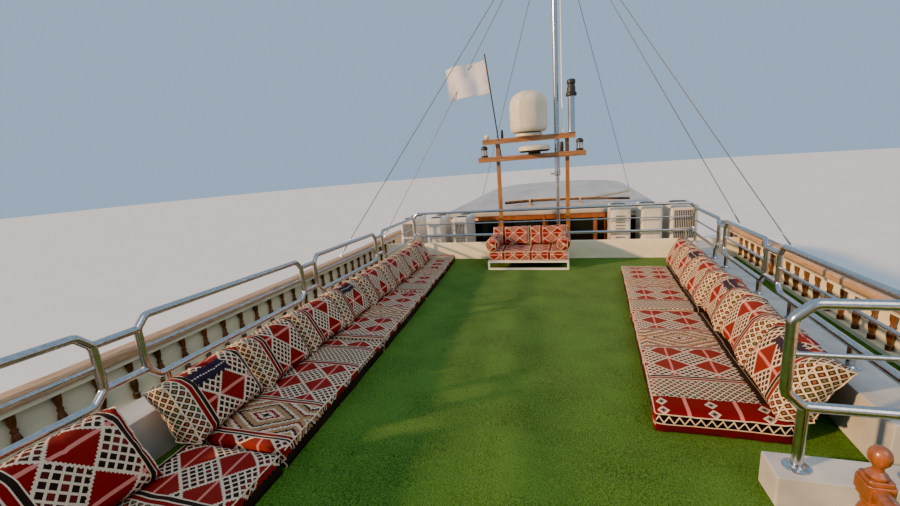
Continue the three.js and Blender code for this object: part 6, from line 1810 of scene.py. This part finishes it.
        # Half-round strip under the roof's edge
        aft, fore, half, lip = 0.06, 9.4, 2.275, 4.247
        outline = [(6.8, -half), (8.6, -1.85), (9.35, -0.9), (9.47, 0.0), (9.35, 0.9), (8.6, 1.85),
                   (6.8, half)]
        curve = [Vector((aft, -half, lip)), *smooth_path([(x, y, lip) for x, y in outline], 6),
                 Vector((aft, half, lip))]
        mouldings.tube([(min(p.x, fore), max(-half, min(half, p.y)), p.z) for p in curve], 0.0125, 10)
        trims.piece("window_frames", [frames], "varnished_timber", bevel=0.002)
        mouldings.piece("wall_mouldings", [paint], "white_paint", bevel=0.002)
        panes.piece("window_panes", looks("Tinted glass"), "tinted_glass")
        return {"FINISHED"}


class DHOW_OT_doors(bpy.types.Operator):
    """Panels and handles of the hinged door and the sliding door, and rings on the engine hatch"""

    bl_idname = "dhow.doors"
    bl_label = "Doors and hatch"

    def execute(self, context):
        teak, steel, bronze = looks("Varnished teak", "Polished stainless steel", "Cast bronze")
        dress(teak, "saloon_door", "side_door", bevel=0.003)
        dress(FINISHES["Laid teak deck"], "engine_hatch", bevel=0.006)
        low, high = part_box("saloon_door")
        face = -10.398
        place = lambda u, v, out: (face - out, u, v)
        panels, handle = Draft(), Draft()
        for z0, z1 in ((low[2] + 0.16, low[2] + 0.72), (low[2] + 0.86, high[2] - 0.16)):
            for y0, y1 in ((-0.27, -0.04), (0.04, 0.21)):
                panels.trim(place, (y0, z0), (y1, z1), 0.022, (SKIN, 0.011))
                panels.box((face - 0.006, y0 + 0.03, z0 + 0.03), (face - SKIN, y1 - 0.03, z1 - 0.03))
        panels.piece("saloon_door_panels", [teak], "varnished_timber", body="saloon_door", bevel=0.002)
        z = low[2] + 0.98
        handle.box((face - 0.005, -0.325, z - 0.09), (face - SKIN, -0.285, z + 0.07))
        handle.tube([(face - 0.004, -0.305, z), (face - 0.03, -0.305, z), (face - 0.034, -0.29, z),
                     (face - 0.034, -0.19, z)],
                    0.0075, 10)
        handle.piece("saloon_door_handle", [bronze], "bronze", body="saloon_door", bevel=0.001)
        low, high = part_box("side_door")
        place = lambda u, v, out: (u, high[1] + out, v)
        panels, handle = Draft(), Draft()
        for z0, z1 in ((low[2] + 0.14, low[2] + 0.68), (low[2] + 0.8, high[2] - 0.2)):
            for x0, x1 in ((low[0] + 0.1, low[0] + 0.37), (low[0] + 0.43, low[0] + 0.7)):
                panels.trim(place, (x0, z0), (x1, z1), 0.022, (SKIN, 0.011))
                panels.box((x0 + 0.03, high[1] + SKIN, z0 + 0.03), (x1 - 0.03, high[1] + 0.006, z1 - 0.03))
        panels.piece("side_door_panels", [teak], "varnished_timber", body="side_door", bevel=0.002)
        x = low[0] + 0.05
        handle.tube([(x, high[1] + SKIN, low[2] + 0.9), (x, high[1] + 0.03, low[2] + 0.9),
                     (x, high[1] + 0.034, low[2] + 0.92), (x, high[1] + 0.034, low[2] + 1.1),
                     (x, high[1] + 0.03, low[2] + 1.12), (x, high[1] + SKIN, low[2] + 1.12)], 0.009, 12)
        handle.piece("side_door_handle", [steel], "stainless_steel", body="side_door")
        hatch = Draft()
        for x in (-7.1, -5.6):
            z = main_deck(x) + 0.05
            at = Matrix.Translation((x, 0.5, z + 0.004))
            hatch.turned([(0, 0), (0.055, 0), (0.055, 0.003), (0.048, 0.005), (0, 0.005)], at, 24)
            hatch.tube([at @ p for p in circle(0.036, 20, 0.01)], 0.0045, 8, closed=True)
        hatch.piece("hatch_rings", [bronze], "bronze", body="engine_hatch")
        return {"FINISHED"}


class DHOW_OT_helm(bpy.types.Operator):
    """Spoked teak wheel in front of its panelled console"""

    bl_idname = "dhow.helm"
    bl_label = "Helm"

    def execute(self, context):
        teak, brass = FINISHES["Varnished teak"], FINISHES["Cast bronze"]
        dress(teak, "helm_console", bevel=0.01)
        low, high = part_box("helm_wheel")
        x, z = 8.12, (low[2] + high[2]) / 2
        axis = Matrix.Translation((x, 0, z)) @ Matrix.Rotation(math.pi / 2, 4, "Y")
        wheel = Draft()
        wheel.turned([(0.274, -0.014), (0.3, -0.018), (0.3185, -0.012), (0.3185, 0.012), (0.3, 0.018),
                      (0.274, 0.014), (0.27, 0.0)], axis, 64)
        wheel.faces = wheel.faces[:-2]
        wheel.inks = wheel.inks[:-2]
        n = 64
        wheel.faces += [(6 * n + i, 6 * n + (i + 1) % n, (i + 1) % n, i) for i in range(n)]
        wheel.inks += [0] * n
        wheel.turned([(0, -0.04), (0.042, -0.04), (0.055, -0.03), (0.055, 0.03), (0.042, 0.038),
                      (0.022, 0.042), (0.022, 0.189), (0, 0.189)], axis, 28, ink=1)
        for i in range(8):
            spoke = axis @ Matrix.Rotation(i * math.pi / 4, 4, "Z") @ Matrix.Rotation(math.pi / 2, 4, "Y")
            wheel.turned([(0, 0.05), (0.012, 0.05), (0.015, 0.09), (0.01, 0.1), (0.0165, 0.13),
                          (0.0175, 0.17), (0.011, 0.21), (0.0165, 0.22), (0.0165, 0.262), (0.0125, 0.27),
                          (0.0125, 0.318), (0.009, 0.325), (0.013, 0.335), (0.0155, 0.358), (0.014, 0.38),
                          (0.006, 0.389), (0, 0.39)], spoke, 14)
        wheel.piece("wheel_rim_and_spokes", [teak, brass], "varnished_timber", "helm_wheel", body="helm")
        low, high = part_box("helm_console")
        panels = Draft()
        for x, way in ((low[0], -1), (high[0], 1)):
            place = lambda u, v, out, a=x, b=way: (a + b * out, u, v)
            for y0, y1 in ((-0.38, -0.05), (0.05, 0.38)):
                panels.trim(place, (y0, low[2] + 0.12), (y1, low[2] + 0.5), 0.02, (SKIN, 0.01))
        at = Matrix.Translation(((low[0] + high[0]) / 2, 0.2, high[2] + SKIN))
        panels.turned([(0, 0), (0.075, 0), (0.075, 0.02), (0.066, 0.035), (0.05, 0.055), (0.03, 0.068),
                       (0, 0.073)], at, 28, ink=1)
        panels.piece("console_panels", [teak, brass], "varnished_timber", bevel=0.001)
        return {"FINISHED"}


class DHOW_OT_engine(bpy.types.Operator):
    """Inline diesel under the hatch, with its covers, manifold, pulleys and gearbox"""

    bl_idname = "dhow.engine"
    bl_label = "Engine"

    def execute(self, context):
        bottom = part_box("engine")[0][2]
        enamel, steel, rubber = looks("Engine enamel", "Galvanised wire rope", "Black moulded plastic")
        draft = Draft()
        draft.box((-7.05, -0.27, -0.45), (-5.75, 0.27, 0.05))
        draft.box((-7.0, -0.2, bottom), (-5.85, 0.2, -0.45))
        draft.box((-7.05, -0.22, 0.05), (-5.75, 0.22, 0.18))
        for side in (-1, 1):
            draft.box((-7.2, side * 0.34 - 0.05, -0.5), (-5.6, side * 0.34 + 0.05, -0.38), 0)
            for x in (-6.9, -5.95):
                draft.box((x - 0.09, side * 0.3 - 0.07, -0.38), (x + 0.09, side * 0.3 + 0.12, -0.33), 0)
        for i in range(6):
            x = -6.93 + i * 0.215
            draft.box((x - 0.095, -0.14, 0.18), (x + 0.095, 0.14, 0.29), 0)
            for y in (-0.09, 0.09):
                draft.turned([(0, 0.29), (0.014, 0.29), (0.014, 0.302), (0, 0.305)], (x, y, 0), 6, ink=1)
            draft.tube([(x, 0.15, 0.1), (x, 0.27, 0.1), (x, 0.31, 0.16)], 0.035, 12, ink=0)
            draft.tube([(x, -0.12, 0.24), (x, -0.24, 0.26), (x, -0.3, 0.1), (x, -0.3, -0.1)], 0.005, 6, ink=1)
        draft.tube([(-7.0, 0.33, 0.2), (-5.8, 0.33, 0.2)], 0.06, 16, ink=0)
        draft.tube([(-7.0, 0.33, 0.2), (-7.06, 0.33, 0.28), (-7.06, 0.33, 0.41)], 0.05, 16, ink=1)
        draft.tube([(-6.9, -0.36, -0.02), (-6.1, -0.36, -0.02)], 0.065, 16, ink=0)
        across = Matrix.Rotation(math.pi / 2, 4, "Y")
        for y, z, r in ((0.0, -0.25, 0.15), (0.2, 0.1, 0.075), (-0.2, 0.02, 0.09)):
            draft.turned([(0, 0), (r, 0), (r, 0.012), (r - 0.012, 0.02), (r - 0.012, 0.03), (r, 0.038),
                          (r, 0.05), (0, 0.05)], Matrix.Translation((-5.74, y, z)) @ across, 32, ink=1)
        draft.turned([(0, 0), (0.29, 0), (0.29, 0.1), (0.2, 0.16), (0.2, 0.17), (0, 0.17)],
                     Matrix.Translation((-7.05, 0, -0.25)) @ Matrix.Rotation(-math.pi / 2, 4, "Y"), 40, ink=0)
        for y, z in ((0.3, -0.2), (-0.3, -0.25)):
            draft.turned([(0, 0), (0.05, 0), (0.052, 0.01), (0.052, 0.16), (0.04, 0.17), (0, 0.17)],
                         (-6.4, y * 1.1, z), 20, ink=2)
        draft.piece("diesel_engine", [enamel, steel, rubber], "cast_iron", "engine", bevel=0.006)
        return {"FINISHED"}


STRAKES = 16
# planks that stand proud of the others as wales: number from the keel, depth in from the outline
WALES = {11: -0.004, 14: -0.004}
WELL_ENDS = ((-12.46, -0.3, main_deck), (0.06, 11.9, fore_deck))


class DHOW_OT_hull(bpy.types.Operator):
    """Planked hull with wales, cap rails, laid decks in both wells, frames, nails and transom mouldings"""

    bl_idname = "dhow.hull"
    bl_label = "Hull"

    def section(self, x, floor):
        """A closed section: up the port planking, over the cap, down to the deck and back on starboard."""
        half, keel, cap, _ = station(x)
        rise = cap - keel
        edge, top = 0.006 / rise, 1 - 0.055 / rise
        side = [hull_point(x, 0.0)]
        inks = []
        for k in range(STRAKES):
            low, high = (top * (n / STRAKES) ** 1.35 for n in (k, k + 1))
            proud = WALES.get(k, 0.012)
            side += [hull_point(x, low + edge, 1, proud), hull_point(x, high - edge, 1, proud),
                     hull_point(x, high, 1, 0.022)]
            inks += [0, 0, 0]
        lip = min(0.145, half * 0.6)
        rail = [(half + 0.002, cap - 0.053), (half + 0.008, cap - 0.045), (half + 0.008, cap - 0.01),
                (half, cap), (half - lip + 0.01, cap), (half - lip, cap - 0.01)]
        inks += [1] * 6
        if floor is None:
            rail += [((half - lip) * share, cap - 0.01) for share in (0.96, 0.9, 0.7, 0.5)]
        else:
            inner = lambda z: max(0.05, half * (1 - (1 - girth_at(x, z)) ** station(x)[3]) - 0.11)
            rail += [(half - lip, cap - 0.05), (inner(cap - 0.055) + 0.001, cap - 0.055),
                     (inner((cap + floor) / 2), (cap + floor) / 2), (inner(floor), floor)]
        inks += [1, 2, 2, 2]
        side += [(x, max(0.012, y), z) for y, z in rail]
        middle = (x, 0.0, side[-1][2])
        other = [(x, -y, z) for x, y, z in reversed(side)]
        return [*side, middle, *other], [*inks, 3, 3, *reversed(inks), 0]

    def execute(self, context):
        planking, cap, paint, laid = looks("Oiled hull planking", "Oiled teak cap",
                                           "Satin oil paint on boards", "Laid teak deck")
        stops = [(x, None) for x in (-12.58, 12.0, 12.3, 12.55, 12.75, 12.88)]
        for aft, fore, floor in WELL_ENDS:
            spots = [aft, *[x for x in np.arange(-12.25, 11.8, 0.25) if aft + 0.1 < x < fore - 0.1], fore]
            stops += [(x, floor) for x in spots] + [(aft - 0.0005, None), (fore + 0.0005, None)]
        stops.sort(key=lambda stop: stop[0])
        rows = [self.section(x, floor and floor(x)) for x, floor in stops]
        draft = Draft()
        draft.grid([r[0] for r in rows], around=True, ends=True)
        inks = rows[0][1]
        draft.inks = [inks[i % len(inks)] for i in range((len(rows) - 1) * len(inks))] + [0, 0]
        shell = draft.shape("hull_shell", [planking, cap, paint, laid])
        mouth = Draft()
        mouth.box((-7.4, -0.62, -0.64), (-5.3, 0.62, 2.4))
        cutter = mouth.shape("bay_cutter", [paint])
        bay = shell.modifiers.new("Engine bay", "BOOLEAN")
        bay.operation, bay.solver, bay.object = "DIFFERENCE", "EXACT", cutter
        seen = shell.evaluated_get(bpy.context.evaluated_depsgraph_get())
        mesh = bpy.data.meshes.new_from_object(seen)
        bpy.data.objects.remove(shell)
        bpy.data.objects.remove(cutter)
        mesh.name = "hull_planks"
        mesh.shade_smooth()
        mesh.set_sharp_from_angle(angle=math.radians(35))
        settle(show("hull_planks", mesh), "hull_paint", "hull", "aft_topsides", "fore_topsides")

        # Frames inside the topsides, and two nails through each plank from the fourth up at each of them
        ribs, nails = Draft(), []
        for aft, fore, floor in WELL_ENDS:
            for x in np.arange(aft + 0.4, fore - 0.3, 0.6):
                half, keel, top, full = station(x)
                for side in (-1, 1):
                    levels = (floor(x) + 0.001, (floor(x) + top) / 2, top - 0.056)
                    ys = [half * (1 - (1 - girth_at(x, z)) ** full) - 0.11 for z in levels]
                    if ys[0] < 0.25:
                        continue
                    ribs.grid([[(x + dx, side * (y - d), z)
                                for dx, d in ((-0.04, -0.005), (0.04, -0.005), (0.04, 0.045),
                               (-0.04, 0.045))] for y, z in zip(ys, levels)], around=True, ends=True)
                    for k in range(3, STRAKES):
                        for share in (0.3, 0.7):
                            s = (1 - 0.055 / (top - keel)) * ((k + share) / STRAKES) ** 1.35
                            a = Vector(hull_point(x, s, side, WALES.get(k, 0.012)))
                            b = Vector(hull_point(x, s + 0.01, side, WALES.get(k, 0.012)))
                            tilt = math.atan2(abs(b.y) - abs(a.y), b.z - a.z)
                            nails.append((a, (-side * (math.pi / 2 - tilt), 0, 0)))
        ribs.piece("topside_frames", [paint], "white_paint", bevel=0.004)
        nail = Draft()
        nail.turned([(0, -0.002), (0.011, -0.002), (0.008, 0.0015), (0, 0.0025)], Matrix(), 6)
        scattered("plank_nails", nail.shape("nail"), nails, FINISHES["Iron nails"], "hull_paint")

        # Transom: a moulded border and three plain panels
        transom = Draft()
        place = lambda u, v, out: (-12.58 - out, u, v)
        for y0, y1 in ((-1.6, -0.65), (-0.5, 0.5), (0.65, 1.6)):
            transom.trim(place, (y0, 1.55), (y1, 2.3), 0.06, (-0.002, 0.018))
            transom.trim(place, (y0 + 0.12, 1.67), (y1 - 0.12, 2.18), 0.025, (-0.002, 0.012))
        half, keel, top, full = station(-12.58)
        for z0, z1 in ((1.38, 1.44), (2.42, 2.5)):
            reach = half * (1 - (1 - girth_at(-12.58, z0)) ** full) - 0.03
            transom.box((-12.598, -reach, z0), (-12.578, reach, z1))
        transom.piece("transom_mouldings", looks("Sunned teak crosswise"), "varnished_timber", bevel=0.004)
        return {"FINISHED"}


class DHOW_OT_underwater(bpy.types.Operator):
    """Keel, rudder with its straps, shaft and four-bladed propeller"""

    bl_idname = "dhow.underwater"
    bl_label = "Keel, rudder and propeller"

    def execute(self, context):
        dress(FINISHES["Oiled hull planking"], "keel", "rudder", bevel=0.01)
        bronze = FINISHES["Cast bronze"]
        straps = Draft()
        for z in (-1.35, -0.985, -0.62):
            for side in (-1, 1):
                straps.box((-11.85, side * 0.06, z - 0.045), (-11.3, side * 0.072, z + 0.045))
                for x in (-11.78, -11.65, -11.52, -11.39):
                    at = Matrix.Translation((x, side * 0.072, z)) @ Matrix.Rotation(-side * math.pi / 2, 4,
                                                                                    "X")
                    straps.turned([(0, -0.001), (0.016, -0.001), (0.014, 0.006), (0, 0.008)], at, 8)
        straps.piece("rudder_straps", [bronze], "bronze", body="rudder", bevel=0.002)
        fore, aft = Vector((-7.35, 0, -0.33)), Vector((-10.62, 0, -0.95))
        ahead = (aft - fore).normalized()
        place = Matrix.Translation(aft) @ ahead.to_track_quat("Z", "Y").to_matrix().to_4x4()
        length = (aft - fore).length
        draft = Draft()
        draft.turned([(0, -length), (0.03, -length), (0.03, -0.16), (0.06, -0.15), (0.072, -0.1),
                      (0.075, 0.0), (0.068, 0.08), (0.05, 0.11), (0.03, 0.13), (0, 0.138)], place, 32)
        for blade in range(4):
            rows = []
            for i in range(13):
                t = i / 12
                r = 0.06 + 0.368 * t
                bow = math.sqrt(max(0.02, 1 - (1.9 * t - 1.05) ** 2 * 0.8))
                chord = 0.3 * bow * (1 - 0.35 * max(0, t - 0.8) / 0.2)
                pitch = math.atan2(0.09, r)
                thick = 0.017 * (1 - 0.75 * t)
                row = []
                for u, v in ((-0.5, 0), (-0.3, 0.75), (0, 1), (0.3, 0.75), (0.5, 0), (0.3, -0.4), (0, -0.5),
                             (-0.3, -0.4)):
                    along, off = u * chord, v * thick
                    around = (along * math.cos(pitch) - off * math.sin(pitch)) / max(r, 0.09)
                    angle = blade * math.pi / 2 + 0.35 * t + around
                    rise = along * math.sin(pitch) + off * math.cos(pitch)
                    row.append(place @ Vector((r * math.cos(angle), r * math.sin(angle), rise)))
                rows.append(row)
            draft.grid(rows, around=True, ends=True)
        draft.piece("propeller_and_shaft", [bronze], "bronze", "propeller", body="propeller", crease=50)
        return {"FINISHED"}


def colour_property(name, description, code):
    """A colour that a user can change."""
    return bpy.props.FloatVectorProperty(name=name, description=description, default=linear(code), size=4,
                                         min=0.0, max=1.0, subtype="COLOR")


class DhowSizes(bpy.types.PropertyGroup):
    """Sizes and colours that a user would change"""

    baluster_pitch: bpy.props.FloatProperty(
        name="Baluster pitch", description="Distance between balusters", default=0.26, min=0.1, unit="LENGTH")
    rail_diameter: bpy.props.FloatProperty(
        name="Rail diameter", description="Diameter of the rail tubes", default=0.05, min=0.02, unit="LENGTH")
    paint: colour_property("Paint", "Paint of the boards and bulwark", "f4edd0")
    varnish: colour_property("Varnish", "Varnished teak of the newels, stair, doors and window frames",
                             "a8581e")
    hull_oil: colour_property("Hull oil", "Oiled planking of the hull", "6e3817")
    turf: colour_property("Turf", "Turf of the upper deck", "517c2a")
    wool: colour_property("Wool", "Red wool of the seats", "780407")


class DHOW_PT_pieces(bpy.types.Panel):
    """Sidebar panel that lists the boat's pieces"""

    bl_label = "Passenger dhow"
    bl_space_type = "VIEW_3D"
    bl_region_type = "UI"
    bl_category = "Dhow"

    def draw(self, context):
        sizes = context.scene.dhow_sizes
        for key in sizes.__annotations__:
            self.layout.prop(sizes, key)
        for operator in OPERATORS:
            self.layout.operator(operator.bl_idname)


OPERATORS = (
    DHOW_OT_stage,
    DHOW_OT_upper_deck,
    DHOW_OT_balustrade,
    DHOW_OT_rails,
    DHOW_OT_coamings,
    DHOW_OT_mattresses,
    DHOW_OT_back_cushions,
    DHOW_OT_bench,
    DHOW_OT_cooling_units,
    DHOW_OT_rig,
    DHOW_OT_flag,
    DHOW_OT_roof_poles,
    DHOW_OT_saloons,
    DHOW_OT_doors,
    DHOW_OT_helm,
    DHOW_OT_engine,
    DHOW_OT_hull,
    DHOW_OT_underwater,
)
CLASSES = (DhowSizes, *OPERATORS, DHOW_PT_pieces)


def register():
    for cls in CLASSES:
        bpy.utils.register_class(cls)
    bpy.types.Scene.dhow_sizes = bpy.props.PointerProperty(type=DhowSizes)


def unregister():
    del bpy.types.Scene.dhow_sizes
    for cls in reversed(CLASSES):
        bpy.utils.unregister_class(cls)


def main():
    register()
    make_finishes(bpy.context.scene.dhow_sizes)
    for operator in OPERATORS:
        group, name = operator.bl_idname.split(".")
        getattr(getattr(bpy.ops, group), name)()


if __name__ == "__main__":
    main()
